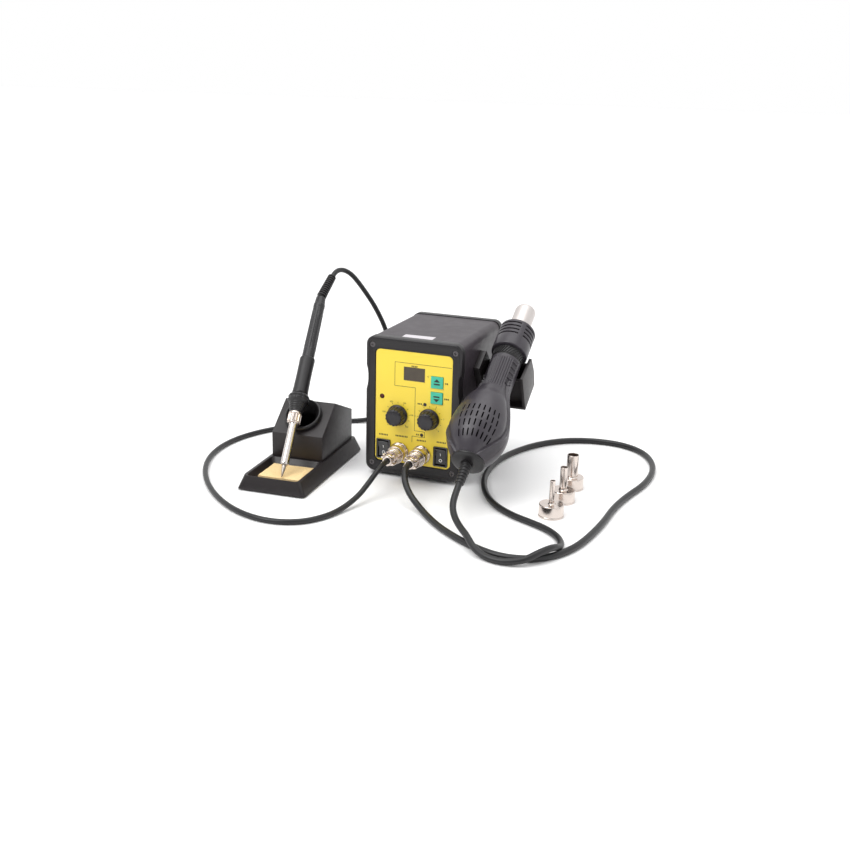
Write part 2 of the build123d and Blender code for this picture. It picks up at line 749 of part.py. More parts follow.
def gun_shell(label, keep):
    with BuildPart() as shell:
        for inset, mode in ((0.0, Mode.ADD), (gun_wall, Mode.SUBTRACT)):
            for along, radius, rise in gun_sections:
                with BuildSketch(gun_plane(along)):
                    with Locations((0, -rise)):
                        Ellipse(radius - inset, (radius - inset) * 0.985)
            loft(mode=mode)
            straight = gun_sections[-1]
            with BuildSketch(gun_plane(straight[0])):
                Ellipse(straight[1] - inset, (straight[1] - inset) * 0.985)
            extrude(amount=grip_end - straight[0], mode=mode)
        split(bisect_by=gun_side, keep=keep)
        if keep == Keep.BOTTOM:
            for plane in gun_screw_planes:
                with BuildSketch(plane):
                    Circle(gun_screw_radius + 0.05)
                extrude(amount=10.0, both=True, mode=Mode.SUBTRACT)
    shell.part.label = label
    return shell


gun_front_shell = gun_shell("gun_front_shell", Keep.TOP)
gun_back_shell = gun_shell("gun_back_shell", Keep.BOTTOM)

relief_radius = 5.6
gun_end_cap = turned(
    "gun_end_cap", gun_origin, gun_along,
    (
        (relief_radius + 0.1, -0.15), (16.8, -0.15), (17.2, -1.2), (16.2, -3.4),
        (relief_radius + 3, -4.6), (relief_radius + 0.1, -4.6),
    ),
)
gun_strain_relief = turned(
    "gun_strain_relief", gun_origin, gun_along,
    (
        (0, 3.0), (relief_radius + 2.0, 3.0), (relief_radius + 2.0, 0.0), (relief_radius, 0.0),
        (relief_radius, -8.0), (4.4, -gun_relief_length), (0, -gun_relief_length),
    ),
)
grip_ring = turned(
    "grip_ring", gun_origin, gun_along,
    (
        (12.6, grip_end + joint_gap), (16.0, grip_end + joint_gap), (16.2, grip_end + 1.2),
        (16.2, cap_start - 0.2), (12.6, cap_start - 0.2),
    ),
)

slot_rows = 4
slot_pitch = 4.9
slot_first = 5.0
slot_width = 1.9
with BuildPart() as vent_cap:
    with BuildSketch(gun_side):
        with BuildLine():
            Polyline(
                (12.6, cap_start), (cap_radius - 0.6, cap_start), (cap_radius, cap_start + 0.8),
                (cap_radius, cap_end - 1.4), (cap_radius - 1.2, cap_end), (barrel_radius + 0.4, cap_end),
                (barrel_radius + 0.4, cap_end - cap_wall), (cap_radius - cap_wall, cap_end - cap_wall),
                (cap_radius - cap_wall, cap_start + 3.0), (12.6, cap_start + 3.0), close=True,
            )
        make_face()
    revolve(axis=Axis(gun_origin, gun_along))
    for row in range(slot_rows):
        start = cap_end - slot_first - row * slot_pitch - slot_width / 2
        with BuildSketch(gun_plane(start)):
            with PolarLocations(cap_radius, 4, start_angle=-13):
                Rectangle(12.0, 23.0)
        extrude(amount=slot_width, mode=Mode.SUBTRACT)
vent_cap.part.label = "vent_cap"

barrel_inner = barrel_radius - barrel_wall
steel_tube = turned(
    "steel_tube", gun_origin, gun_along,
    (
        (barrel_inner, barrel_start), (barrel_radius + 1.2, barrel_start),
        (barrel_radius + 1.2, barrel_start + 1.5),
        (barrel_radius - 0.3, barrel_start + 1.5), (barrel_radius - 0.3, cap_end + 0.5),
        (barrel_radius, cap_end + 0.5), (barrel_radius, barrel_end - 1.2),
        (barrel_radius - 0.8, barrel_end),
        (barrel_radius - 2.4, barrel_end), (barrel_radius - 2.4, barrel_end - barrel_wall),
        (barrel_inner, barrel_end - barrel_wall - 0.8),
    ),
)
heater_end = barrel_end - 16.0
with BuildPart() as heater_core:
    with BuildSketch(gun_plane(cap_start + 4.0)):
        Circle(8.4)
        with PolarLocations(5.0, 8):
            Circle(1.2, mode=Mode.SUBTRACT)
    extrude(amount=heater_end - cap_start - 4.0)
    with BuildSketch(gun_plane(grip_end - 6.0)):
        Circle(10.0)
    extrude(amount=cap_start + 4.0 - grip_end + 6.0)
heater_core.part.label = "heater_core"

impeller_plane = Plane(
    origin=gun_point(impeller_place, -3.0), x_dir=(1, 0, 0), z_dir=gun_up
)
with BuildPart() as fan_impeller:
    with BuildSketch(impeller_plane):
        Circle(impeller_radius)
    extrude(amount=1.2)
    with BuildSketch(impeller_plane):
        Circle(5.0)
    extrude(amount=impeller_height - 2.0)
    with BuildSketch(impeller_plane.offset(1.2)):
        with PolarLocations(impeller_radius - 4.5, 18):
            Rectangle(8.0, 1.0, rotation=35)
    extrude(amount=impeller_height - 1.2)
fan_impeller.part.label = "fan_impeller"

with BuildPart() as fan_motor:
    with BuildSketch(impeller_plane.offset(-0.4)):
        Circle(11.0)
    extrude(amount=-15.0)
    with BuildSketch(impeller_plane.offset(-15.4)):
        Circle(5.0)
    extrude(amount=-6.0)
fan_motor.part.label = "fan_motor"

# ---- side holder ----------------------------------------------------------
wall_start, wall_end = holder_walls


def holder_side(x):
    """A plane square to X in the gun's axes: its x runs along the gun and its y to the underside."""
    return Plane(
        origin=gun_origin + Vector(x, 0, 0), x_dir=gun_along, z_dir=(-1, 0, 0)
    )


side_gap = gun_from_case[0] + holder_inner_x - cover_outer
saddle_radius = 16.2
holder_left = holder_inner_x - side_gap + 0.1
holder_base = (
    (wall_start - 6, holder_floor), (wall_end - 3, holder_floor),
    (wall_end - 3, holder_floor + holder_wall), (wall_start - 6, holder_floor + holder_wall),
)
inner_wall = (
    (wall_start - 3, -holder_lip), (cap_start - 6, -holder_lip), (cap_start - 1, 8),
    (cap_start - 1, holder_floor), (wall_start - 5, holder_floor),
)
outer_wall = (
    (wall_start, 3), (wall_end, 7), (wall_end + 2, 27), (wall_end - 3, holder_floor + holder_wall),
    (wall_start - 6, holder_floor + holder_wall),
)
holder_walls_and_base = (
    (holder_left, side_gap - 0.1, inner_wall),
    (holder_outer_x, holder_wall, outer_wall),
    (holder_left, holder_outer_x - holder_left + holder_wall, holder_base),
)
with BuildPart() as gun_holder:
    for x, thickness, outline in holder_walls_and_base:
        with BuildSketch(holder_side(x)):
            with BuildLine():
                Polyline(*outline, close=True)
            make_face()
        extrude(amount=-thickness)
    for web in (wall_start + 2.0, cap_start - 4.0):
        with BuildSketch(gun_plane(web)):
            with Locations(((holder_inner_x + holder_outer_x) / 2, (8 + holder_floor) / 2)):
                Rectangle(holder_outer_x - holder_inner_x, holder_floor - 8)
            Circle(saddle_radius, mode=Mode.SUBTRACT)
            with Locations((0, 4)):
                Rectangle(2 * saddle_radius, 8, mode=Mode.SUBTRACT)
        extrude(amount=3.0)
gun_holder.part.label = "gun_holder"

with BuildPart() as gun_screws:
    for plane in gun_screw_planes:
        with BuildSketch(plane):
            Circle(gun_screw_radius)
        extrude(amount=6.0)
gun_screws.part.label = "gun_screws"

# ---- soldering iron -------------------------------------------------------
iron_tip_point = stand.from_local_coords(Vector(*iron_rest))
iron_along = (stand.from_local_coords(Vector(*iron_lean)) - stand.origin).normalized()

iron_tip = turned(
    "iron_tip", iron_tip_point, iron_along,
    ((0, 0), (0.5, 0.4), (2.2, 11.0), (2.2, 30.0), (0, 30.0)),
)
iron_tube = turned(
    "iron_tube", iron_tip_point, iron_along,
    (
        (2.3, 13.5), (3.6, 13.5), (4.3, 15.0), (4.3, iron_nut_start - 1), (5.4, iron_nut_start - 1),
        (5.4, iron_nut_start + 1), (3.4, iron_nut_start + 1), (3.4, 18.0), (2.3, 17.0),
    ),
)
with BuildPart() as tip_nut:
    with BuildSketch(profile_plane(iron_tip_point, iron_along)):
        with BuildLine():
            Polyline(
                (4.4, iron_nut_start - 2.5), (6.4, iron_nut_start - 2.5), (7.3, iron_nut_start - 1.5),
                (7.3, iron_collar_start - 0.6), (6.6, iron_collar_start - 0.15),
                (5.6, iron_collar_start - 0.15),
                (5.6, iron_nut_start - 1.1), (4.4, iron_nut_start - 1.1), close=True,
            )
        make_face()
    revolve(axis=Axis(iron_tip_point, iron_along))
    with BuildSketch(cross_plane(iron_tip_point, iron_along, iron_nut_start)):
        with PolarLocations(7.6, 12):
            Circle(0.7)
    extrude(amount=20.0, mode=Mode.SUBTRACT)
tip_nut.part.label = "tip_nut"
iron_heater = turned(
    "iron_heater", iron_tip_point, iron_along,
    ((0, 30.15), (2.8, 30.15), (2.8, iron_collar_start + 8), (0, iron_collar_start + 8)),
)
iron_collar = turned(
    "iron_collar", iron_tip_point, iron_along,
    (
        (2.9, iron_collar_start), (6.8, iron_collar_start), (8.2, iron_collar_start + 8),
        (iron_collar_radius, iron_collar_start + 12), (iron_collar_radius, iron_grip_start - 2),
        (iron_grip_radius + 0.4, iron_grip_start - 0.1), (5.2, iron_grip_start - 0.1),
        (5.2, iron_collar_start + 12), (2.9, iron_collar_start + 8),
    ),
)
iron_grip = turned(
    "iron_grip", iron_tip_point, iron_along,
    (
        (6.9, iron_grip_start), (iron_grip_radius, iron_grip_start),
        (iron_grip_radius - 0.5, iron_grip_start + 18), (iron_grip_radius - 0.4, iron_grip_end - 1),
        (iron_grip_radius - 1.0, iron_grip_end), (6.9, iron_grip_end),
    ),
)
iron_handle = turned(
    "iron_handle", iron_tip_point, iron_along,
    (
        (0, iron_grip_start + 0.1), (6.8, iron_grip_start + 0.1), (6.8, iron_grip_end + 2),
        (6.2, iron_handle_end - 14), (5.9, iron_handle_end - 8), (5.2, iron_handle_end),
        (0, iron_handle_end),
    ),
)
relief_start = iron_tip_point + iron_along * (iron_handle_end + 1.5)
iron_strain_relief = turned(
    "iron_strain_relief", relief_start, Vector(*iron_relief_lean).normalized(),
    ((0, 0), (5.2, 0), (4.4, iron_relief_length - 1.5), (0, iron_relief_length - 1.5)),
)

# ---- iron stand -----------------------------------------------------------
base_inset = 6.0
tray_half = (28.0, 31.0)
tray_centre = -47.0
tray_floor = 5.0
with BuildPart() as stand_base:
    with BuildSketch(stand.offset(stand_foot)):
        RectangleRounded(stand_width, stand_length, 4.0)
    with BuildSketch(stand.offset(stand_base_height)):
        RectangleRounded(stand_width - 2 * base_inset, stand_length - base_inset, 5.0)
    loft()
    with BuildSketch(stand.offset(stand_base_height)):
        with Locations((0, tray_centre)):
            RectangleRounded(2 * tray_half[0], 2 * tray_half[1], 4.0)
    with BuildSketch(stand.offset(tray_floor)):
        with Locations((0, tray_centre + 4.6)):
            RectangleRounded(sponge_size[0] + 1.0, sponge_size[1] + 1.0, 2.5)
    loft(mode=Mode.SUBTRACT)
stand_base.part.label = "stand_base"

with BuildPart() as sponge:
    with BuildSketch(stand.offset(tray_floor + 0.1)):
        with Locations((0, tray_centre + 4.6)):
            Rectangle(sponge_size[0], sponge_size[1])
    extrude(amount=sponge_size[2])
    fillet(sponge.edges().filter_by(Axis.Z), 1.5)
sponge.part.label = "sponge"

block_front = -13.4
block_rear = 72.0
block_nose = 42.5
block_crest = (23.0, 69.7)
block_tail = 50.0
block_half = 28.5
stand_side = Plane(origin=stand.origin, x_dir=stand.y_dir, z_dir=stand.x_dir)


def block_outline(inset):
    low = stand_base_height + joint_gap
    return (
        (block_front + inset, low), (block_front + inset, block_nose - inset * 0.6),
        (block_crest[0], block_crest[1] - inset * 1.15), (block_rear - inset, block_tail - inset * 0.9),
        (block_rear - inset, low),
    )


face_run = block_crest[0] - block_front
face_rise = block_crest[1] - block_nose
face_length = sqrt(face_run**2 + face_rise**2)
face_up = (stand.y_dir * face_run + stand.z_dir * face_rise) / face_length
face_out = stand.x_dir.cross(face_up)
face_middle = stand.from_local_coords(
    Vector(-0.6, block_front + face_run * 0.53, block_nose + face_rise * 0.53)
)
funnel_deep = 26.0
with BuildPart() as stand_block:
    with BuildSketch(stand_side):
        with BuildLine():
            Polyline(*block_outline(0.0), close=True)
        make_face()
    extrude(amount=block_half, both=True)
    with BuildSketch(stand_side):
        with BuildLine():
            Polyline(*block_outline(block_wall), close=True)
        make_face()
    extrude(amount=block_half - block_wall, both=True, mode=Mode.SUBTRACT)
    with BuildSketch(Plane(origin=face_middle, x_dir=stand.x_dir, z_dir=face_out)):
        Circle(funnel_radius - 3.0)
    extrude(amount=10.0, both=True, mode=Mode.SUBTRACT)
stand_block.part.label = "stand_block"

funnel_mouth = funnel_radius - 2.6
stand_funnel = turned(
    "stand_funnel", face_middle, face_out,
    (
        (funnel_mouth, funnel_height), (funnel_radius - 0.8, funnel_height),
        (funnel_radius, funnel_height - 1),
        (funnel_radius, 0.1), (funnel_radius - 3.2, 0.1), (funnel_radius - 3.4, -block_wall),
        (12.0, -funnel_deep), (9.8, -funnel_deep), (funnel_mouth - 3.0, -block_wall - 1),
    ),
)

# ---- nozzles --------------------------------------------------------------
nozzles = []
for name, (x, y, radius) in zip(nozzle_names, nozzle_places):
    outer = nozzle_bore_radius + nozzle_wall
    top = nozzle_collar + nozzle_tube
    nozzles.append(
        standing(
            name, station_x + x, station_y + y,
            (
                (nozzle_bore_radius, 0), (outer, 0), (outer, nozzle_collar),
                (outer - 0.8, nozzle_collar + 0.8),
                (radius + 1.2, nozzle_collar + 0.8), (radius, nozzle_collar + 1.8), (radius, top),
                (radius - 0.6, top), (radius - 0.6, nozzle_collar), (nozzle_bore_radius, nozzle_collar),
            ),
        )
    )


# ---- cords ----------------------------------------------------------------
def cord(label, route, diameter):
    """A round cord along straight runs and tangent arcs, each arc as large as its runs allow."""
    points = [Vector(*place) for place in route]
    radii = []
    for before, here, after in zip(points, points[1:], points[2:]):
        shorter = min((here - before).length, (after - here).length)
        turn = (here - before).get_angle(after - here)
        radii.append(0.45 * shorter / tan(radians(turn / 2)))
    with BuildPart() as tube:
        with BuildLine() as path:
            FilletPolyline(*points, radius=radii)
        start = Plane(origin=points[0], z_dir=points[1] - points[0])
        with BuildSketch(start):
            Circle(diameter / 2)
        sweep(path=path.wires()[0])
    tube.part.label = label
    length = path.wires()[0].length
    expected = length * pi * diameter**2 / 4
    print(label, "length", round(length, 1), "smallest radius", round(min(radii), 1))
    print("  radii", [round(r) for r in radii])
    print("  volume over section times length", round(tube.part.volume / expected, 5))
    return tube


iron_cord = cord("iron_cord", iron_route, iron_cord_diameter)
gun_cord = cord("gun_cord", gun_route, gun_cord_diameter)

# ---- files ----------------------------------------------------------------
pieces = [
    top_cover, base_plate, front_bezel, rear_bezel, front_panel, panel_label, rear_panel,
    case_screws, rubber_feet, display_window, power_lamp, calibration_trimmers,
    circuit_boards, transformer, potentiometers, iron_knob_shaft, air_knob_shaft,
    iron_temperature_knob, air_flow_knob, up_button, down_button, switch_housings,
    iron_power_rocker, air_power_rocker, panel_sockets, plug_shells, iron_coupling_ring,
    gun_coupling_ring, cable_clamps, mains_inlet, fuse_holder, gun_holder,
    gun_front_shell, gun_back_shell, gun_end_cap, gun_strain_relief, grip_ring, vent_cap,
    steel_tube, heater_core, fan_impeller, fan_motor, gun_screws,
    iron_tip, iron_tube, tip_nut, iron_heater, iron_collar, iron_grip, iron_handle,
    iron_strain_relief, stand_base, stand_block, stand_funnel, sponge, iron_cord, gun_cord,
] + nozzles
os.makedirs("parts", exist_ok=True)
for piece in pieces:
    export_step(piece.part, f"parts/{piece.part.label}.step")
print(len(pieces), "nodes")
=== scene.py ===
import json
import math

import bmesh
import bpy
from mathutils import Matrix, Vector, noise


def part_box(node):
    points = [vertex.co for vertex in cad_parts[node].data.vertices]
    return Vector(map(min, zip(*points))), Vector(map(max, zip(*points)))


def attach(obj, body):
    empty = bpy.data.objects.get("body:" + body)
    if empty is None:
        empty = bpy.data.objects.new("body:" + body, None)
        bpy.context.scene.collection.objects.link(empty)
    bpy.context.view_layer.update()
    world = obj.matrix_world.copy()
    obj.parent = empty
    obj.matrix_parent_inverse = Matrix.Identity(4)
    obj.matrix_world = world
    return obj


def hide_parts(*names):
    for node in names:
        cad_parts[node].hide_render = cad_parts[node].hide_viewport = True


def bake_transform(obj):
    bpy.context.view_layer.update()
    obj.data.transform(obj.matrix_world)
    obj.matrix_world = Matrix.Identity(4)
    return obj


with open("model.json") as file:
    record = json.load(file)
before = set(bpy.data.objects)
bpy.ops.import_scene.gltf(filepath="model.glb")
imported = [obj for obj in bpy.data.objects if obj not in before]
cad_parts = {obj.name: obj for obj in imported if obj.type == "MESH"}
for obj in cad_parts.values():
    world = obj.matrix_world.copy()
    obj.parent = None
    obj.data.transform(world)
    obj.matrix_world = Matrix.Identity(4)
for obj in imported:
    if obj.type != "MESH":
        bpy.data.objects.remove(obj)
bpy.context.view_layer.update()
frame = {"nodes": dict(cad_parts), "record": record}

mm = 0.001
upright = Matrix.Identity(4)
print("frame loaded,", len(frame["nodes"]), "nodes")


# ---- small tools for nodes ----
class Wire:
    # one socket that can be added, multiplied and so on

    def __init__(self, sheet, socket):
        self.sheet = sheet
        self.socket = socket

    def maths(self, operation, other=None, first=False, **settings):
        if other is None:
            values = {0: self}
        else:
            values = {0: other, 1: self} if first else {0: self, 1: other}
        return self.sheet.node("ShaderNodeMath", {"operation": operation, **settings}, values)

    def __add__(self, other):
        return self.maths("ADD", other)

    def __sub__(self, other):
        return self.maths("SUBTRACT", other)

    def __rsub__(self, other):
        return self.maths("SUBTRACT", other, first=True)

    def __mul__(self, other):
        return self.maths("MULTIPLY", other)

    def __truediv__(self, other):
        return self.maths("DIVIDE", other)

    __radd__ = __add__
    __rmul__ = __mul__

    def clamped(self):
        return self.maths("ADD", 0.0, use_clamp=True)


class NodeSheet:
    def __init__(self, tree):
        self.tree = tree

    def node(self, kind, settings=None, inputs=None, output=0):
        made = self.tree.nodes.new(kind)
        for key, value in (settings or {}).items():
            if key == "stops":
                while len(made.color_ramp.elements) < len(value):
                    made.color_ramp.elements.new(0.5)
                for element, (position, colour) in zip(made.color_ramp.elements, value):
                    element.position = position
                    element.color = (*colour, 1.0)
            else:
                setattr(made, key, value)
        for key, value in (inputs or {}).items():
            if isinstance(value, Wire):
                self.tree.links.new(value.socket, made.inputs[key])
            else:
                made.inputs[key].default_value = value
        return Wire(self, made.outputs[output])


class Finish(NodeSheet):
    # one material, with its surface shader and the usual patterns

    def __init__(self, name, **fixed):
        self.material = bpy.data.materials.new(name)
        self.material.use_nodes = True
        super().__init__(self.material.node_tree)
        self.shader = self.tree.nodes["Principled BSDF"]
        for key, value in fixed.items():
            self.shader.inputs[key.replace("_", " ")].default_value = value
        self.place = self.node("ShaderNodeTexCoord", output="Object")

    def cloud(self, scale, detail=3.0, roughness=0.5):
        values = {"Vector": self.place, "Scale": scale, "Detail": detail, "Roughness": roughness}
        return self.node("ShaderNodeTexNoise", None, values)

    def blend(self, mask, low, high):
        values = {0: mask, 6: (*low, 1.0), 7: (*high, 1.0)}
        return self.node("ShaderNodeMix", {"data_type": "RGBA"}, values, output=2)

    def mixOver(self, mask, under, over):
        values = {0: mask, 6: under, 7: (*over, 1.0)}
        return self.node("ShaderNodeMix", {"data_type": "RGBA"}, values, output=2)

    def along(self, origin, direction):
        moved = self.node("ShaderNodeVectorMath", {"operation": "SUBTRACT"}, {0: self.place, 1: origin})
        values = {0: moved, 1: direction}
        return self.node("ShaderNodeVectorMath", {"operation": "DOT_PRODUCT"}, values, output="Value")

    def feed(self, name, wire):
        self.tree.links.new(wire.socket, self.shader.inputs[name])

    def bump(self, height, depth, strength=1.0):
        values = {"Height": height, "Distance": depth * mm, "Strength": strength}
        self.feed("Normal", self.node("ShaderNodeBump", None, values))


def shade(colour, factor):
    return tuple(min(1.0, c * factor) for c in colour)


# ---- finishes ----
def mouldedPlastic(name, colour, roughness, grain=0.5, depth=0.03, coat=0.0):
    made = Finish(name, Coat_Weight=coat, Coat_Roughness=0.12)
    patch = made.cloud(45.0)
    made.feed("Base Color", made.blend(patch, shade(colour, 0.82), shade(colour, 1.2)))
    scuff = made.cloud(260.0, 5.0, 0.65)
    made.feed("Roughness", (scuff * 0.22 + (roughness - 0.11)).clamped())
    made.bump(made.cloud(1.0 / (grain * mm), 2.0), depth, 0.55)
    return made.material


def powderCoat(name, colour, roughness):
    made = Finish(name)
    patch = made.cloud(18.0, 2.0)
    speck = made.cloud(1900.0, 1.0)
    tone = (patch * 0.6 + speck * 0.4).clamped()
    made.feed("Base Color", made.blend(tone, shade(colour, 0.8), shade(colour, 1.25)))
    made.feed("Roughness", (made.cloud(90.0, 4.0) * 0.16 + (roughness - 0.08)).clamped())
    made.bump(made.cloud(950.0, 2.0), 0.05, 0.5)
    return made.material


def softRubber(name, colour, roughness=0.55):
    made = Finish(name)
    dust = made.cloud(70.0, 5.0, 0.6)
    made.feed("Base Color", made.blend(dust, shade(colour, 0.75), shade(colour, 1.45)))
    made.feed("Roughness", (made.cloud(320.0, 3.0) * 0.2 + (roughness - 0.1)).clamped())
    made.bump(made.cloud(2600.0, 2.0), 0.03, 0.6)
    return made.material


def turnedMetal(name, colour, roughness, origin, direction, pitch=0.35, depth=0.012, tarnish=None):
    # fine rings left by turning, square to the piece's axis
    made = Finish(name, Metallic=1.0)
    height = made.along(origin, direction)
    rings = made.node(
        "ShaderNodeTexNoise", {"noise_dimensions": "1D"},
        {"W": height, "Scale": 1.0 / (pitch * mm), "Detail": 2.0},
    )
    patch = made.cloud(150.0, 4.0)
    colours = made.blend(patch, shade(colour, 0.94), shade(colour, 1.06))
    if tarnish:
        heat = ((height - tarnish["from"]) / (tarnish["to"] - tarnish["from"])).clamped()
        colours = made.mixOver(heat * (0.55 + patch * 0.45), colours, tarnish["colour"])
    made.feed("Base Color", colours)
    made.feed("Roughness", (rings * 0.06 + patch * 0.05 + (roughness - 0.05)).clamped())
    made.bump(rings, depth, 0.5)
    return made.material


def brightNickel(name, colour=(0.70, 0.62, 0.57), roughness=0.16):
    made = Finish(name, Metallic=1.0)
    patch = made.cloud(210.0, 4.0)
    haze = made.cloud(38.0, 2.0)
    made.feed("Base Color", made.blend(haze, shade(colour, 0.84), shade(colour, 1.16)))
    made.feed("Roughness", (patch * 0.12 + haze * 0.08 + (roughness - 0.1)).clamped())
    made.bump(made.cloud(900.0, 3.0), 0.004, 0.2)
    return made.material


def printedFilm(name, colour):
    made = Finish(name, Coat_Weight=0.25, Coat_Roughness=0.3)
    haze = made.cloud(24.0, 2.0)
    made.feed("Base Color", made.blend(haze, shade(colour, 0.93), shade(colour, 1.04)))
    made.feed("Roughness", (made.cloud(420.0, 3.0) * 0.14 + 0.34).clamped())
    made.bump(made.cloud(1500.0, 2.0), 0.02, 0.35)
    return made.material


def inkFinish(name, colour, roughness=0.5):
    made = Finish(name)
    worn = made.cloud(1400.0, 2.0)
    made.feed("Base Color", made.blend(worn, shade(colour, 0.85), shade(colour, 1.15)))
    made.feed("Roughness", (worn * 0.1 + (roughness - 0.05)).clamped())
    return made.material


def tintedWindow(name):
    made = Finish(name, Coat_Weight=0.15, Coat_Roughness=0.1)
    haze = made.cloud(110.0, 2.0)
    made.feed("Base Color", made.blend(haze, (0.036, 0.024, 0.012), (0.062, 0.043, 0.022)))
    made.feed("Roughness", (haze * 0.1 + 0.12).clamped())
    return made.material


def cellulose(name):
    made = Finish(name)
    pores = made.node("ShaderNodeTexVoronoi", None, {"Vector": made.place, "Scale": 620.0, "Randomness": 1.0})
    large = made.node("ShaderNodeTexVoronoi", None, {"Vector": made.place, "Scale": 240.0, "Randomness": 1.0})
    mottle = made.cloud(55.0, 4.0)
    base = made.blend(mottle, (0.83, 0.58, 0.26), (0.95, 0.74, 0.42))
    # darker brown where the Voronoi pores lie: painted shade inside the pores
    poreShade = (1.0 - (pores * 2.4).clamped()) * 0.5
    made.feed("Base Color", made.mixOver(poreShade.clamped(), base, (0.45, 0.27, 0.10)))
    made.feed("Roughness", (mottle * 0.1 + 0.85).clamped())
    made.bump(pores + large, 0.5, 0.7)
    return made.material


def varnished(name, colour, roughness, scale=400.0):
    made = Finish(name)
    patch = made.cloud(scale, 3.0)
    made.feed("Base Color", made.blend(patch, shade(colour, 0.7), shade(colour, 1.3)))
    made.feed("Roughness", (patch * 0.2 + (roughness - 0.1)).clamped())
    made.bump(patch, 0.04, 0.5)
    return made.material


# ---- places taken from the frame ----
bezelLow, bezelHigh = [Vector(corner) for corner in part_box("front_bezel")]
stationX = (bezelLow.x + bezelHigh.x) / 2
frontY = bezelLow.y
panelSkin = Vector(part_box("panel_label")[0]).y
caseHalf = (bezelHigh.x - bezelLow.x) / 2 / mm


def axisFrame(origin, along):
    # millimetres: z runs along the axis, x is level and y completes it
    along = Vector(along).normalized()
    level = Vector((along.y, -along.x, 0.0))
    across = level.normalized() if level.length > 1e-6 else Vector((1, 0, 0))
    turn = Matrix((across, along.cross(across), along)).transposed().to_4x4()
    return Matrix.Translation(origin) @ turn @ Matrix.Scale(mm, 4)


# x across the panel, y up and z out of it, from the middle of the case at bench height
panelTurn = Matrix(((1, 0, 0), (0, 0, -1), (0, 1, 0))).to_4x4()
panelFrame = Matrix.Translation((stationX, panelSkin, 0)) @ panelTurn @ Matrix.Scale(mm, 4)
mounts = {mount["name"]: mount for mount in frame["record"]["mounts"]}
gunMount = mounts["air_barrel"]
gunAlong = Vector(gunMount["axis"]).normalized()
gunEnd = 197.0
gunOrigin = Vector(gunMount["pos_m"]) - gunAlong * gunEnd * mm
gunFrame = axisFrame(gunOrigin, gunAlong)
ironTip = Vector((-0.117061, -0.098877, 0.0127))
ironAlong = Vector((-0.150012, 0.711995, 0.685973)).normalized()
ironFrame = axisFrame(ironTip, ironAlong)
funnelPlace = Vector((-0.126489, -0.030861, 0.056916))
funnelOut = Vector((0.039671, -0.597275, 0.801055)).normalized()
funnelFrame = axisFrame(funnelPlace, funnelOut)

finishes = {
    "case_paint": powderCoat("casePaint", (0.034, 0.026, 0.033), 0.42),
    "case_plastic": mouldedPlastic("casePlastic", (0.007, 0.0055, 0.007), 0.38, 0.4, 0.02),
    "panel_yellow": printedFilm("panelYellow", (0.93, 0.70, 0.055)),
    "screw_black": brightNickel("screwSteel", (0.105, 0.098, 0.102), 0.26),
    "rubber": softRubber("blackRubber", (0.008, 0.007, 0.008), 0.38),
    "smoked_window": tintedWindow("smokedWindow"),
    "lamp_red": varnished("lampRed", (0.075, 0.008, 0.005), 0.18, 300.0),
    "brass": varnished("trimmerBrass", (0.30, 0.22, 0.10), 0.3, 700.0),
    "board_green": varnished("boardGreen", (0.02, 0.10, 0.04), 0.4),
    "transformer_steel": varnished("transformerSteel", (0.08, 0.08, 0.09), 0.5),
    "knob_black": mouldedPlastic("knobBlack", (0.016, 0.014, 0.018), 0.33, 0.3, 0.015),
    "steel": turnedMetal("barrelSteel", (0.66, 0.62, 0.60), 0.46, gunOrigin, gunAlong, 0.5, 0.01),
    "button_teal": mouldedPlastic("buttonTeal", (0.030, 0.50, 0.33), 0.35, 0.3, 0.01, 0.3),
    "switch_black": mouldedPlastic("switchBlack", (0.006, 0.006, 0.008), 0.2, 0.6, 0.008, 0.6),
    "nickel": brightNickel("brightNickel"),
    "holder_plastic": mouldedPlastic("standPlastic", (0.015, 0.0115, 0.0125), 0.42, 0.45, 0.03),
    "phenolic": mouldedPlastic("phenolicBlack", (0.010, 0.009, 0.010), 0.36, 0.5, 0.02),
    "gun_plastic": mouldedPlastic("gunPlastic", (0.040, 0.035, 0.043), 0.34, 0.35, 0.03),
    "ceramic": varnished("heaterCeramic", (0.80, 0.77, 0.70), 0.6, 500.0),
    "fan_plastic": mouldedPlastic("fanPlastic", (0.015, 0.015, 0.016), 0.4),
    "motor_steel": brightNickel("motorSteel", (0.45, 0.44, 0.43), 0.35),
    "tip_plate": turnedMetal(
        "tipPlate", (0.50, 0.46, 0.42), 0.36, ironTip, ironAlong, 0.4, 0.01,
        {"from": 0.014, "to": 0.0, "colour": (0.12, 0.085, 0.06)},
    ),
    "handle_plastic": mouldedPlastic("handlePlastic", (0.012, 0.011, 0.013), 0.27, 0.35, 0.015),
    "sponge": cellulose("cellulose"),
    "cord_rubber": softRubber("cordSilicone", (0.008, 0.008, 0.009), 0.40),
}
for part in frame["record"]["subparts"]:
    data = frame["nodes"][part["node"]].data
    data.materials.clear()
    data.materials.append(finishes[part["material_slot"]])
print("finishes made:", len(finishes))


# ---- mesh tools ----
def linked(name, data):
    made = bpy.data.objects.new(name, data)
    bpy.context.scene.collection.objects.link(made)
    return made


def asMesh(source, name="working"):
    # the bmesh is used up
    data = bpy.data.meshes.new(name)
    source.to_mesh(data)
    source.free()
    return data


def plainMesh(holder):
    # what an object's modifiers or curve give; the object is used up
    bpy.context.view_layer.update()
    made = bpy.data.meshes.new_from_object(holder.evaluated_get(bpy.context.evaluated_depsgraph_get()))
    bpy.data.objects.remove(holder)
    return made


def walled(source, first, second, closed=True):
    # a strip of faces between two rows of corners
    count = len(first)
    for k in range(count if closed else count - 1):
        after = (k + 1) % count
        source.faces.new((first[k], first[after], second[after], second[k]))


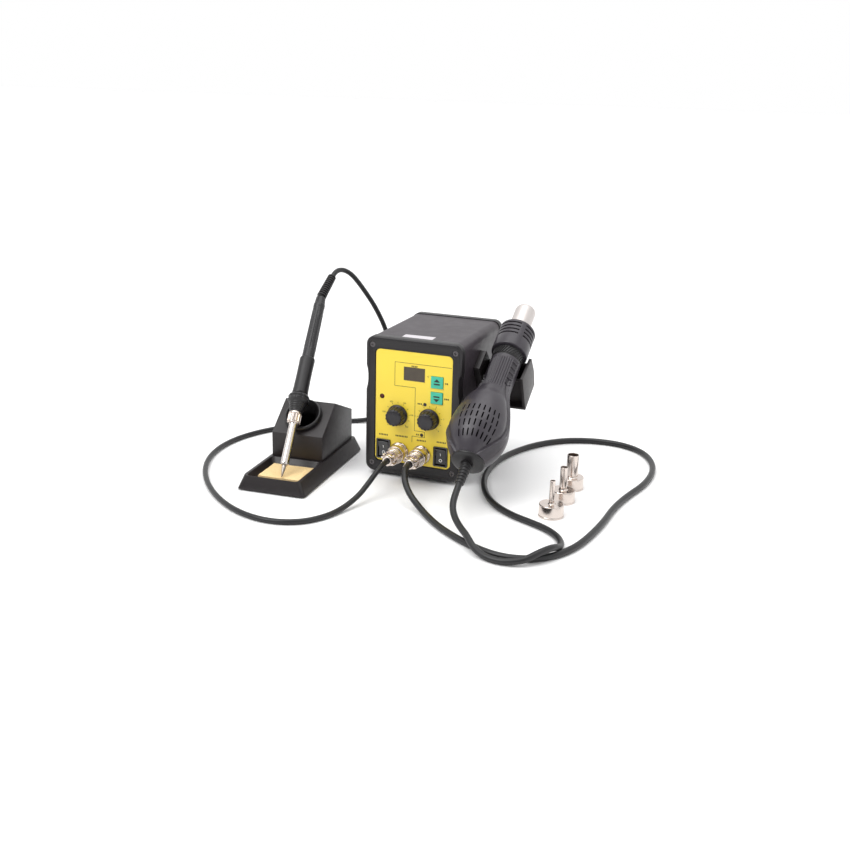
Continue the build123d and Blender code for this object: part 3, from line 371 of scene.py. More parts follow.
def sharpened(data, angle=32.0):
    for face in data.polygons:
        face.use_smooth = True
    data.set_sharp_from_angle(angle=math.radians(angle))


def addPiece(name, source, slotName, body, place=upright, nodes=(), finish=None, angle=32.0, merge=1e-5):
    # source is a bmesh in the place's own units, which becomes one finished piece
    bmesh.ops.remove_doubles(source, verts=source.verts, dist=merge)
    bmesh.ops.recalc_face_normals(source, faces=source.faces)
    data = asMesh(source, name)
    data.transform(place)
    return finishPiece(name, data, slotName, body, nodes, finish, angle)


def finishPiece(name, data, slotName, body, nodes=(), finish=None, angle=32.0):
    sharpened(data, angle)
    data.materials.clear()
    data.materials.append(finish or finishes[slotName])
    piece = linked(name, data)
    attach(piece, body)
    if nodes:
        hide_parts(*nodes)
    return piece


def evaluated(data, modifiers):
    # a loose object with modifiers, made into a plain mesh
    holder = linked("working", data)
    for kind, settings in modifiers:
        modifier = holder.modifiers.new(kind.lower(), kind)
        for key, value in settings.items():
            setattr(modifier, key, value)
    return plainMesh(holder)


def eased(outline, size, steps=4):
    # an outline whose corners are turned by small curves
    count = len(outline)
    made = []
    for k, point in enumerate(outline):
        here = Vector(point)
        before = Vector(outline[k - 1]) - here
        after = Vector(outline[(k + 1) % count]) - here
        reach = min(size, before.length * 0.45, after.length * 0.45)
        onAxis = abs(here.x) < 1e-6
        if reach < 1e-4 or onAxis:
            made.append(tuple(here))
            continue
        first = here + before.normalized() * reach
        last = here + after.normalized() * reach
        for step in range(steps + 1):
            t = step / steps
            made.append(tuple(first * (1 - t) ** 2 + here * 2 * t * (1 - t) + last * t * t))
    return made


def lathe(outline, turns=72, shape=None):
    # a closed outline of (radius, height) turned round z; shape may change the radius with the angle
    source = bmesh.new()
    rings = []
    for radius, height in outline:
        ring = []
        for k in range(turns):
            angle = 2 * math.pi * k / turns
            reach = shape(radius, height, angle) if shape and radius > 0 else radius
            ring.append(source.verts.new((reach * math.cos(angle), reach * math.sin(angle), height)))
        rings.append(ring)
    for first, second in zip(rings, rings[1:] + rings[:1]):
        walled(source, first, second)
    return source


def slab(source, outline, low, high):
    bottom = [source.verts.new((x, y, low)) for x, y in outline]
    top = [source.verts.new((x, y, high)) for x, y in outline]
    source.faces.new(bottom[::-1])
    source.faces.new(top)
    walled(source, bottom, top)
    return source


def discOutline(x, y, radius, count=24):
    turn = 2 * math.pi / count
    return [(x + radius * math.cos(k * turn), y + radius * math.sin(k * turn)) for k in range(count)]


def barOutline(x, y, width, height):
    return [
        (x - width / 2, y - height / 2), (x + width / 2, y - height / 2),
        (x + width / 2, y + height / 2), (x - width / 2, y + height / 2),
    ]


def softened(node, width, slotName, body, segments=3):
    # a copy of a CAD node whose edges are eased
    source = bmesh.new()
    source.from_mesh(frame["nodes"][node].data)
    bmesh.ops.remove_doubles(source, verts=source.verts, dist=1e-6)
    bmesh.ops.dissolve_limit(source, angle_limit=math.radians(0.6), verts=source.verts, edges=source.edges)
    bevel = {
        "width": width * mm, "segments": segments, "limit_method": "ANGLE",
        "angle_limit": math.radians(35.0), "harden_normals": False, "use_clamp_overlap": True,
    }
    made = evaluated(asMesh(source), [("BEVEL", bevel)])
    words = node.split("_")
    name = words[0] + "".join(word.title() for word in words[1:]) + "Shaped"
    return finishPiece(name, made, slotName, body, [node])


# ---- one tree that repeats a part round an axis, or along it ----
def repeatTree():
    tree = bpy.data.node_groups.new("repeatAround", "GeometryNodeTree")
    tree.interface.new_socket("Geometry", in_out="INPUT", socket_type="NodeSocketGeometry")
    kinds = {
        "Part": "NodeSocketObject", "Count": "NodeSocketInt", "Radius": "NodeSocketFloat",
        "Turn": "NodeSocketFloat", "Pitch": "NodeSocketFloat", "Start": "NodeSocketFloat",
        "Material": "NodeSocketMaterial",
    }
    for label, kind in kinds.items():
        tree.interface.new_socket(label, in_out="INPUT", socket_type=kind)
    tree.interface.new_socket("Geometry", in_out="OUTPUT", socket_type="NodeSocketGeometry")
    sheet = NodeSheet(tree)
    entry = tree.nodes.new("NodeGroupInput")
    given = {label: Wire(sheet, entry.outputs[label]) for label in ("Geometry", *kinds)}
    index = sheet.node("GeometryNodeInputIndex")
    angle = index * given["Turn"]
    height = index * given["Pitch"] + given["Start"]
    spot = sheet.node("ShaderNodeCombineXYZ", None, {
        0: angle.maths("COSINE") * given["Radius"], 1: angle.maths("SINE") * given["Radius"], 2: height,
    })
    points = sheet.node("GeometryNodePoints", None, {"Count": given["Count"], "Position": spot})
    part = sheet.node("GeometryNodeObjectInfo", None, {"Object": given["Part"]}, output="Geometry")
    turning = sheet.node("ShaderNodeCombineXYZ", None, {2: angle})
    many = sheet.node(
        "GeometryNodeInstanceOnPoints", None, {"Points": points, "Instance": part, "Rotation": turning}
    )
    solid = sheet.node("GeometryNodeRealizeInstances", None, {0: many})
    joined = sheet.node("GeometryNodeJoinGeometry", None, {0: solid})
    tree.links.new(given["Geometry"].socket, joined.socket.node.inputs[0])
    coloured = sheet.node("GeometryNodeSetMaterial", None, {"Geometry": joined, "Material": given["Material"]})
    exitNode = tree.nodes.new("NodeGroupOutput")
    tree.links.new(coloured.socket, exitNode.inputs[0])
    return tree


repeats = repeatTree()


def repeated(base, part, count, radius=0.0, turn=0.0, pitch=0.0, start=0.0, finish=None):
    # base and part are bmeshes; the result is one plain mesh
    meshes = []
    for source in (base, part):
        bmesh.ops.remove_doubles(source, verts=source.verts, dist=1e-5)
        bmesh.ops.recalc_face_normals(source, faces=source.faces)
        meshes.append(asMesh(source))
    single, holder = linked("single", meshes[1]), linked("holder", meshes[0])
    values = {
        "Part": single, "Count": count, "Radius": radius, "Turn": turn, "Pitch": pitch,
        "Start": start, "Material": finish,
    }
    modifier = holder.modifiers.new("repeats", "NODES")
    modifier.node_group = repeats
    for item in repeats.interface.items_tree:
        if item.in_out == "INPUT" and item.name in values:
            modifier[item.identifier] = values[item.name]
    made = plainMesh(holder)
    bpy.data.objects.remove(single)
    return made


def repeatedPiece(name, base, part, slotName, body, place, nodes, finish=None, angle=32.0, **layout):
    chosen = finish or finishes[slotName]
    made = repeated(base, part, finish=chosen, **layout)
    made.transform(place)
    return finishPiece(name, made, slotName, body, nodes, chosen, angle)


# ---- cords ----
cordPlan = {
    "iron_cord": {
        "diameter": 0.0055, "ends": ("station", "iron"), "rise": ((0, 0, 0.012), (0, 0, 0.19)),
        "points": (
            (-149.83, 88.1, 185.33), (-149.72, 92.7, 188.55), (-148.9, 98.5, 190.6), (-147.1, 104.3, 191.0),
            (-144.4, 109.7, 189.6), (-140.8, 114.2, 186.5), (-135.8, 118.5, 180.4), (-127.5, 125.5, 166.0),
            (-117.0, 134.0, 146.0), (-106.0, 143.0, 117.0), (-100.5, 146.5, 86.0), (-99.5, 147.5, 55.0),
            (-102.5, 148.5, 28.0),
            (-113.5, 146.5, 9.0), (-131.5, 140.5, 2.9), (-154.5, 126.5, 2.9), (-181.5, 103.5, 2.9),
            (-208.0, 75.5, 2.9), (-229.0, 40.5, 2.9), (-238.5, 1.5, 2.9), (-235.0, -40.5, 2.9),
            (-219.0, -81.5, 2.9), (-193.0, -119.5, 2.9), (-160.5, -152.5, 2.9), (-123.0, -177.0, 2.9),
            (-86.5, -185.5, 2.9), (-57.5, -175.5, 2.9), (-41.5, -153.5, 2.9), (-34.5, -129.5, 3.5),
            (-28.5, -106.5, 9.0), (-25.5, -90.0, 16.5), (-22.5, -75.5, 25.0), (-20.7, -62.5, 29.5),
            (-20.7, -51.6, 29.6),
        ),
    },
    "gun_cord": {
        "diameter": 0.0064, "ends": ("station", "gun"),
        "rise": ((0.0, 0.0, 0.0358), (0.000168, -0.00084, 0.0442)),
        "points": (
            (72.0, -96.15, 33.45), (72.0, -107.1, 26.47), (74.0, -118.5, 19.5), (81.0, -131.0, 14.5),
            (91.5, -144.5, 11.8), (102.5, -158.5, 11.4), (113.5, -171.5, 6.5), (127.5, -179.5, 3.3),
            (144.5, -182.5, 3.3), (161.5, -177.5, 5.5), (173.5, -165.5, 11.4), (181.0, -151.5, 11.4),
            (183.5, -136.5, 5.5), (180.5, -120.5, 3.3), (172.5, -106.5, 3.3), (158.5, -94.5, 3.3),
            (140.5, -85.5, 3.3), (120.5, -76.5, 3.3), (100.5, -61.5, 3.3), (84.5, -41.5, 3.3),
            (72.5, -17.5, 3.3), (63.5, 10.5, 3.3), (59.5, 40.5, 3.3), (60.5, 72.5, 3.3),
            (68.5, 106.5, 3.3), (84.5, 140.5, 3.3), (108.5, 167.5, 3.3), (139.5, 181.5, 3.3),
            (172.5, 182.5, 3.3), (200.5, 166.5, 3.3), (217.5, 136.5, 3.3), (224.5, 100.5, 3.3),
            (222.5, 60.5, 3.3), (212.5, 20.5, 3.3), (206.5, -17.5, 3.3), (205.5, -55.5, 3.3),
            (201.5, -92.5, 3.3), (195.5, -124.5, 3.3), (183.0, -151.5, 3.3), (163.5, -168.0, 3.3),
            (139.5, -172.5, 3.3), (114.5, -164.5, 3.3), (90.5, -150.5, 3.3), (66.5, -132.5, 3.3),
            (46.5, -112.5, 3.4), (32.5, -99.5, 6.5), (20.0, -89.5, 12.0), (10.4, -79.5, 19.0),
            (5.0, -69.5, 26.2), (3.6, -60.5, 29.6), (3.6, -51.6, 29.6),
        ),
    },
}


def centreline(points):
    # the smooth line of a cord, from a NURBS spline on its points
    curve = bpy.data.curves.new("route", "CURVE")
    curve.dimensions = "3D"
    spline = curve.splines.new("NURBS")
    spline.points.add(len(points) - 1)
    for spot, (x, y, z) in zip(spline.points, points):
        spot.co = (x * mm, y * mm, z * mm, 1.0)
    spline.order_u = 3
    spline.use_endpoint_u = True
    spline.resolution_u = 10
    spots = [vertex.co.copy() for vertex in plainMesh(linked("route", curve)).vertices]
    return [spots[0]] + [b for a, b in zip(spots, spots[1:]) if (b - a).length > 1e-6]


def tubeAlong(spots, radius, sides=16):
    source = bmesh.new()
    forward = (spots[1] - spots[0]).normalized()
    across = forward.orthogonal().normalized()
    rings = []
    for k, spot in enumerate(spots):
        after = spots[min(k + 1, len(spots) - 1)] - spots[max(k - 1, 0)]
        heading = after.normalized()
        across = (across - heading * across.dot(heading)).normalized()
        other = heading.cross(across)
        ring = []
        for side in range(sides):
            angle = 2 * math.pi * side / sides
            ring.append(source.verts.new(spot + (across * math.cos(angle) + other * math.sin(angle)) * radius))
        rings.append(ring)
    for first, second in zip(rings, rings[1:]):
        walled(source, first, second)
    source.faces.new(rings[0][::-1])
    source.faces.new(rings[-1])
    return source


for label, plan in cordPlan.items():
    spots = centreline(plan["points"])
    source = tubeAlong(spots, plan["diameter"] / 2)
    bmesh.ops.recalc_face_normals(source, faces=source.faces)
    data = asMesh(source, label)
    sharpened(data, 60.0)
    data.materials.append(finishes["cord_rubber"])
    piece = linked(label.replace("_c", "C"), data)
    length = sum((b - a).length for a, b in zip(spots, spots[1:]))
    start = tuple(value * mm for value in plan["points"][0])
    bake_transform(piece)
    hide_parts(label)
    print(label, "length", round(length, 4))

# ---- case ----
for row in (
    ("front_bezel", 0.9, "case_plastic", "station"), ("rear_bezel", 0.9, "case_plastic", "station"),
    ("up_button", 0.25, "button_teal", "up_key"), ("down_button", 0.25, "button_teal", "down_key"),
    ("switch_housings", 0.5, "switch_black", "station"),
    ("iron_power_rocker", 0.4, "switch_black", "iron_rocker"),
    ("air_power_rocker", 0.4, "switch_black", "air_rocker"),
    ("mains_inlet", 0.5, "switch_black", "station"), ("fuse_holder", 0.3, "switch_black", "station"),
):
    softened(*row)

bezelPlan = {"inset": 2.6, "width": 0.9, "rise": 0.35, "corner": 6.5, "bottom": 4.0, "height": 146.0}


def roundedOutline(x, y, width, height, corner, steps=8):
    made = []
    right, up = width / 2 - corner, height / 2 - corner
    for cx, cy, begin in ((right, up, 0), (-right, up, 90), (-right, -up, 180), (right, -up, 270)):
        for step in range(steps + 1):
            angle = math.radians(begin + 90 * step / steps)
            made.append((x + cx + corner * math.cos(angle), y + cy + corner * math.sin(angle)))
    return made


def frameBand(source, outer, inner, low, high):
    # a flat band between two outlines of the same count, with walls
    rings = [[source.verts.new((x, y, z)) for x, y in line] for line, z in (
        (outer, low), (outer, high), (inner, high), (inner, low)
    )]
    for first, second in zip(rings, rings[1:] + rings[:1]):
        walled(source, first, second)


def bezelBead():
    plan = bezelPlan
    middle = plan["bottom"] + plan["height"] / 2
    out = (frontY - panelSkin) / -mm
    source = bmesh.new()
    width = 2 * caseHalf - 2 * plan["inset"]
    height = plan["height"] - 2 * plan["inset"]
    outer = roundedOutline(0, middle, width, height, plan["corner"])
    inner = roundedOutline(
        0, middle, width - 2 * plan["width"], height - 2 * plan["width"], plan["corner"] - plan["width"]
    )
    frameBand(source, outer, inner, out - 0.1, out + plan["rise"])
    addPiece("bezelBead", source, "case_plastic", "station", panelFrame)


bezelBead()

stickerPlan = {"centre": (-8.9, -2.4), "size": (33.0, 15.0), "thickness": 0.12, "turn": 2.0}


def blankSticker():
    plan = stickerPlan
    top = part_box("top_cover")[1][2]
    source = bmesh.new()
    outline = roundedOutline(0, 0, plan["size"][0], plan["size"][1], 1.2, 5)
    slab(source, outline, 0.0, plan["thickness"])
    turn = Matrix.Rotation(math.radians(plan["turn"]), 4, "Z")
    place = Matrix.Translation((plan["centre"][0] * mm, plan["centre"][1] * mm, top)) @ turn
    pale = inkFinish("stickerPaper", (0.60, 0.57, 0.60), 0.45)
    addPiece("blankSticker", source, "ceramic", "station", place @ Matrix.Scale(mm, 4), finish=pale)


blankSticker()
print("case shaped")

# ---- printing on the panel ----
printPlan = {
    "lift": 0.02, "ink": 0.05, "rule": 0.45,
    "titleRule": ((-20.0, 125.4), (41.2, 125.4)),
    "stepLine": (
        (-20.0, 125.4), (-20.0, 100.4), (2.8, 100.4), (2.8, 54.4), (14.0, 54.4), (14.0, 48.2), (0.2, 48.2),
        (0.2, 42.0),
    ),
    "dials": ((-16.1, 69.0), (18.9, 69.0)), "dialTicks": 11, "tickIn": 12.6, "tickOut": 13.9,
    "tickWidth": 0.35, "dialStart": 230, "dialSweep": 280, "figureOut": 1.9, "figureSize": 2.3,
    "numbers": (("200", "250", "300", "350", "400", "450"), ("1", "2", "4", "5", "7", "8")),
    "unit": ("°C", 16.2, 113.6), "holeShadeDiscs": ((13.7, 83.9), (10.8, 50.6)), "holeRadius": 1.9,
    "dashes": (
        (-32.0, 45.6, 12.0), (32.6, 45.6, 11.0), (-11.5, 46.4, 14.0), (10.6, 44.6, 12.0),
        (1.4, 122.6, 8.0), (36.6, 108.6, 4.0), (37.0, 92.3, 6.0), (6.2, 50.6, 5.0), (8.0, 84.0, 6.0),
    ),
    "dashHeight": 1.7, "blockPitch": 1.75, "blockWidth": 1.15,
}
# black ink for the print, also used for the painted shade of the panel's two holes
black = inkFinish("printAndHoleShadeBlack", (0.018, 0.016, 0.014))
white = inkFinish("printWhite", (0.82, 0.82, 0.80))


def rule(source, first, last, width, low, high):
    a, b = Vector(first), Vector(last)
    side = Vector((-(b - a).y, (b - a).x)).normalized() * width / 2
    end = (b - a).normalized() * width / 2
    corners = [a - end - side, b + end - side, b + end + side, a - end + side]
    slab(source, [tuple(corner) for corner in corners], low, high)


def glyphs(words, size):
    # figures as a mesh: (text, x, y, z) in panel millimetres
    made = bmesh.new()
    for text, x, y, z in words:
        curve = bpy.data.curves.new("figure", "FONT")
        curve.body = text
        curve.size = size
        curve.align_x = "CENTER"
        curve.align_y = "CENTER"
        curve.extrude = 0.02
        curve.resolution_u = 3
        data = plainMesh(linked("figure", curve))
        data.transform(Matrix.Translation((x, y, z)))
        made.from_mesh(data)
    return made


def panelPrint():
    plan = printPlan
    low, high = plan["lift"], plan["ink"]
    source = bmesh.new()
    rule(source, *plan["titleRule"], plan["rule"], low, high)
    for first, last in zip(plan["stepLine"], plan["stepLine"][1:]):
        rule(source, first, last, plan["rule"], low, high)
    words = []
    for (x, z), figures in zip(plan["dials"], plan["numbers"]):
        for k in range(plan["dialTicks"]):
            angle = math.radians(plan["dialStart"] - plan["dialSweep"] * k / (plan["dialTicks"] - 1))
            way = Vector((math.cos(angle), math.sin(angle)))
            start, end = Vector((x, z)) + way * plan["tickIn"], Vector((x, z)) + way * plan["tickOut"]
            rule(source, start, end, plan["tickWidth"], low, high)
        for k, figure in enumerate(figures):
            angle = math.radians(plan["dialStart"] - plan["dialSweep"] * k / (len(figures) - 1))
            reach = plan["tickOut"] + plan["figureOut"]
            words.append((figure, x + math.cos(angle) * reach, z + math.sin(angle) * reach * 0.97, high))
    words.append((*plan["unit"], high))
    for x, z, width in plan["dashes"]:
        count = int(width / plan["blockPitch"])
        for k in range(count):
            along = x + (k - (count - 1) / 2) * plan["blockPitch"]
            slab(source, barOutline(along, z, plan["blockWidth"], plan["dashHeight"]), low, high)
    # black discs where the panel's two holes are: painted shade inside the holes
    for x, z in plan["holeShadeDiscs"]:
        slab(source, discOutline(x, z, plan["holeRadius"]), low, high)
    addPiece("panelRules", source, "knob_black", "station", panelFrame, finish=black)
    figures = glyphs(words, plan["figureSize"])
    addPiece("panelFigures", figures, "knob_black", "station", panelFrame, finish=black)


panelPrint()


keyPlan = {
    "keys": (("up_key", 108.7, 1), ("down_key", 92.3, -1)), "x": 26.4, "face": 1.2, "ink": 0.05,
    "arrow": {"half": 3.4, "base": 0.6, "tip": 4.0}, "bar": {"below": 1.6, "size": (6.6, 1.5)},
}


def keyMarks():
    # an arrow and a bar on each key
    plan, head, bar = keyPlan, keyPlan["arrow"], keyPlan["bar"]
    x, low, high = plan["x"], plan["face"], plan["face"] + plan["ink"]
    for label, z, up in plan["keys"]:
        source = bmesh.new()
        base = z + up * head["base"]
        arrow = [(x - head["half"], base), (x + head["half"], base), (x, z + up * head["tip"])]
        slab(source, arrow if up > 0 else arrow[::-1], low, high)
        slab(source, barOutline(x, z - up * bar["below"], *bar["size"]), low, high)
        addPiece(label.split("_")[0] + "KeyMark", source, "knob_black", label, panelFrame, finish=black)


keyMarks()


rockerPlan = {
    "places": {"iron": -31.6, "air": 32.3}, "middle": 30.2, "seat": 0.1, "ink": (0.02, 0.08),
    "bar": {"up": 2.4, "lean": 16.7, "size": (0.6, 3.0)}, "ring": {"up": -4.2, "lean": -1.5, "radii": (1.7, 1.15)},
}


def rockerMarks():
    # I and O in white; each sits on its half of the rocker's shallow V
    plan = rockerPlan
    for label, x in plan["places"].items():
        bar, ring = bmesh.new(), bmesh.new()
        slab(bar, barOutline(0, 0, *plan["bar"]["size"]), *plan["ink"])
        outer, inner = [discOutline(0, 0, radius) for radius in plan["ring"]["radii"]]
        frameBand(ring, outer, inner, *plan["ink"])
        for mark, seat in ((bar, plan["bar"]), (ring, plan["ring"])):
            lean = math.radians(seat["lean"])
            spot = (x, plan["middle"] + seat["up"], plan["seat"] + seat["up"] * math.tan(lean))
            place = Matrix.Translation(spot) @ Matrix.Rotation(lean, 4, "X")
            bmesh.ops.transform(mark, matrix=place, verts=mark.verts)
        bar.from_mesh(asMesh(ring))
        addPiece(label + "RockerMarks", bar, "ceramic", label + "_rocker", panelFrame, finish=white)


rockerMarks()
print("panel printed")

# ---- dial knobs ----
knobPlan = {
    "places": {"iron": -16.1, "air": 18.9}, "height": 69.0, "skirt": 11.2, "waist": 9.7, "nose": 9.0,
    "length": 14.0, "flutes": 14, "fluteDepth": 0.7, "lift": 0.6,
}


def dialKnob(label, x):
    plan = knobPlan
    top = plan["length"]
    outline = [
        (0, plan["lift"]), (plan["skirt"], plan["lift"]), (plan["skirt"], 2.4), (plan["skirt"] - 1.3, 3.5),
        (plan["waist"], 4.4), (plan["waist"] - 0.1, 6.0), (plan["nose"] + 0.2, top - 2.0),
        (plan["nose"] - 1.3, top - 0.6), (plan["nose"] * 0.45, top), (0, top + 0.05),
    ]

    def fluted(radius, height, angle):
        if height < 4.6 or height > top - 0.9 or radius < plan["nose"] - 1.6:
            return radius
        wave = max(0.0, math.cos(plan["flutes"] * angle)) ** 0.6
        return radius - plan["fluteDepth"] * wave

    source = lathe(eased(outline, 0.7), 128, fluted)
    place = panelFrame @ Matrix.Translation((x, plan["height"], 0))
    nodes = (label + ("_temperature_knob" if label == "iron" else "_flow_knob"),)
    addPiece(label + "DialKnob", source, "knob_black", label + "_knob", place, nodes, angle=40)
    mark = bmesh.new()
    slab(mark, barOutline(0, plan["nose"] - 3.4, 0.8, 4.4), top - 0.6, top + 0.1)
    addPiece(label + "KnobMark", mark, "knob_black", label + "_knob", place)


for label, x in knobPlan["places"].items():
    dialKnob(label, x)

# ---- plugs and their rings ----
plugPlan = {
    "places": {"iron": -13.2, "gun": 11.1}, "height": 29.6, "reach": 35.0, "teeth": 26,
    "cord": {"iron": 2.75, "gun": 3.2},
    "screw": ((0, -3.6), (1.0, -3.6), (1.0, 4.2), (1.7, 4.2), (1.7, 5.2), (1.2, 5.6), (0, 5.6)),
    "saddle": (3.2, 14.0, 2.0), "saddleSpan": (25.4, 33.4),
}


def plugSet():
    plan = plugPlan
    sockets, shells, clamps = bmesh.new(), bmesh.new(), bmesh.new()
    for label, x in plan["places"].items():
        spot = Matrix.Translation((x, plan["height"], 0))
        for target, outline in (
            (sockets, [(0, 0), (10.3, 0), (10.3, 2.2), (9.4, 3.3), (8.4, 3.4), (8.4, 5.9), (0, 5.9)]),
            (shells, [
                (0, 6.2), (7.6, 6.2), (7.6, 15.4), (8.8, 15.4), (8.8, 16.4), (8.4, 16.9), (8.8, 17.4),
                (8.8, 19.0), (8.1, 19.8), (8.1, 21.4), (7.5, 21.8), (7.5, 22.6), (8.1, 23.0), (8.1, 25.0),
                (0, 25.0),
            ]),
        ):
            one = lathe(eased(outline, 0.35), 64)
            bmesh.ops.remove_doubles(one, verts=one.verts, dist=1e-5)
            bmesh.ops.transform(one, matrix=spot, verts=one.verts)
            target.from_mesh(asMesh(one))
        hole = plan["cord"][label] + 0.15
        saddle = lathe(eased([
            (hole, 25.2), (6.2, 25.2), (6.2, 31.0), (5.4, 32.5), (5.4, plan["reach"] - 0.8), (4.8, plan["reach"]),
            (hole, plan["reach"]),
        ], 0.5), 48)
        offset, width, height = plan["saddle"]
        for side in (1, -1):
            slab(saddle, roundedOutline(0, side * offset, width, height, 0.9, 3), *plan["saddleSpan"])
        for side in (-1, 1):
            screw = lathe(eased(plan["screw"], 0.3), 20)
            stand = Matrix.Translation((side * 5.6, 0, 29.4)) @ Matrix.Rotation(math.radians(-90), 4, "X")
            bmesh.ops.transform(screw, matrix=stand, verts=screw.verts)
            saddle.from_mesh(asMesh(screw))
        bmesh.ops.transform(saddle, matrix=spot, verts=saddle.verts)
        clamps.from_mesh(asMesh(saddle))
        core = lathe(eased([
            (7.9, 3.9), (9.3, 3.9), (9.6, 4.6), (9.6, 6.4), (9.0, 6.8), (9.2, 7.2), (9.2, 12.6), (9.0, 13.0),
            (9.6, 13.3), (9.6, 14.4), (9.2, 14.9), (7.9, 14.9),
        ], 0.25), 78)
        tooth = slab(bmesh.new(), [(-0.4, -0.4), (0.4, -0.4), (0.22, 0.35), (-0.22, 0.35)], 7.2, 12.4)
        bmesh.ops.rotate(tooth, verts=tooth.verts, matrix=Matrix.Rotation(math.radians(-90), 3, "Z"))
        repeatedPiece(
            label + "CouplingRingKnurled", core, tooth, "nickel", label + "_ring", panelFrame @ spot,
            [label + "_coupling_ring"], count=plan["teeth"], radius=9.2, turn=2 * math.pi / plan["teeth"],
        )
    addPiece("panelSocketsTurned", sockets, "nickel", "station", panelFrame, ["panel_sockets"])
    addPiece("plugShellsTurned", shells, "nickel", "station", panelFrame, ["plug_shells"])
    addPiece("cableClampsShaped", clamps, "nickel", "station", panelFrame, ["cable_clamps"])


plugSet()
print("knobs and plugs made")

# ---- hot air gun ----
gunPlan = {
    "sections": (
        (0.0, 17.0, 0.0), (9.0, 23.0, 1.0), (19.0, 28.0, 1.6), (31.0, 30.6, 2.0), (43.0, 29.8, 2.2),
        (56.0, 27.2, 3.2), (69.0, 23.6, 3.4), (81.0, 19.2, 1.6), (93.0, 16.4, 0.3), (104.0, 15.8, 0.0),
    ),
    "flat": 0.985, "gripEnd": 133.0, "wall": 2.0, "step": 1.0, "arcs": 150,
    "ridge": ((0.0, 42.0), (5.0, 50.0), (10.0, 58.0), (20.0, 71.0), (30.0, 80.0), (45.0, 84.0), (60.0, 82.0),
              (75.0, 76.0), (90.0, 68.0), (105.0, 64.0), (133.0, 62.0)),
    "ridgeDepth": 3.0, "ridgeFall": 5.0, "lip": 0.8, "lipFall": 1.6,
    "slot": {"length": 8.0, "width": 1.5, "rows": 4, "columns": 8, "first": 15.5, "alongStep": 9.8,
             "centre": 14.0, "fan": 10.5, "shift": -1.2},
    "groove": {"start": 87.0, "end": 130.0, "count": 9, "reach": 44.0, "depth": 0.8},
    "notch": {"start": 96.0, "end": 131.0, "count": 10, "depth": 2.0, "from": 46.0, "to": 72.0},
}


def between(points, place):
    # a smooth value through (place, value) points, in either order of place
    spots = sorted(points)
    if place <= spots[0][0]:
        return spots[0][1]
    for k in range(len(spots) - 1):
        (a, low), (b, high) = spots[k], spots[k + 1]
        if place <= b:
            before = spots[max(k - 1, 0)]
            after = spots[min(k + 2, len(spots) - 1)]
            slopeLow = (high - before[1]) / (b - before[0])
            slopeHigh = (after[1] - low) / (after[0] - a)
            span = b - a
            t = (place - a) / span
            return (
                low * (2 * t**3 - 3 * t**2 + 1) + high * (3 * t**2 - 2 * t**3)
                + slopeLow * span * (t**3 - 2 * t**2 + t) + slopeHigh * span * (t**3 - t**2)
            )
    return spots[-1][1]


def soft(value, low, high):
    t = min(1.0, max(0.0, (value - low) / (high - low)))
    return t * t * (3 - 2 * t)


gunRadii = [(t, radius) for t, radius, rise in gunPlan["sections"]]
gunRises = [(t, rise) for t, radius, rise in gunPlan["sections"]]


def frontDepth(t, angle, radius):
    # how far the front shell's surface lies below its plain form, beside the ridge on each side
    plan = gunPlan
    fromTop = abs(math.degrees(angle) + 90.0)
    edge = math.radians(between(plan["ridge"], t) - fromTop) * radius
    fade = (1.0 - soft(t, 98.0, 112.0)) * soft(t, -4.0, 6.0)
    if edge > 0:
        return plan["ridgeDepth"] * fade * soft(edge, 0.0, 1.6) * math.exp(-edge / plan["ridgeFall"])
    return -plan["lip"] * fade * math.exp(edge / plan["lipFall"])


def gunGrooves(t, angle):
    plan = gunPlan["groove"]
    inside = soft(t, plan["start"], plan["start"] + 2.0) * (1 - soft(t, plan["end"] - 2.0, plan["end"]))
    span = math.radians(plan["reach"])
    fromTop = angle + math.pi / 2
    if inside <= 0 or abs(fromTop) > span:
        return 0.0
    phase = (fromTop + span) / (2 * span) * plan["count"]
    wave = 0.5 - 0.5 * math.cos(2 * math.pi * phase)
    return plan["depth"] * inside * wave**2


def gunNotches(t, angle):
    plan = gunPlan["notch"]
    if not plan["start"] < t < plan["end"]:
        return 0.0
    fromTop = abs(math.degrees(angle) + 90.0)
    inside = soft(fromTop, plan["from"] - 2.0, plan["from"]) * (1.0 - soft(fromTop, plan["to"], plan["to"] + 2.0))
    phase = (t - plan["start"]) / (plan["end"] - plan["start"]) * plan["count"]
    return plan["depth"] * inside * (0.5 - 0.5 * math.cos(2 * math.pi * phase)) ** 1.5


def gunSurface(t, angle, detailed):
    radius, rise = between(gunRadii, t), between(gunRises, t)
    x = radius * math.cos(angle)
    y = radius * gunPlan["flat"] * math.sin(angle)
    depth = 0.0
    if detailed:
        depth = gunNotches(t, angle) + gunGrooves(t, angle) + frontDepth(t, angle, radius)
    away = Vector((x, y)).normalized() * depth
    return Vector((x - away.x, y - away.y - rise, t))


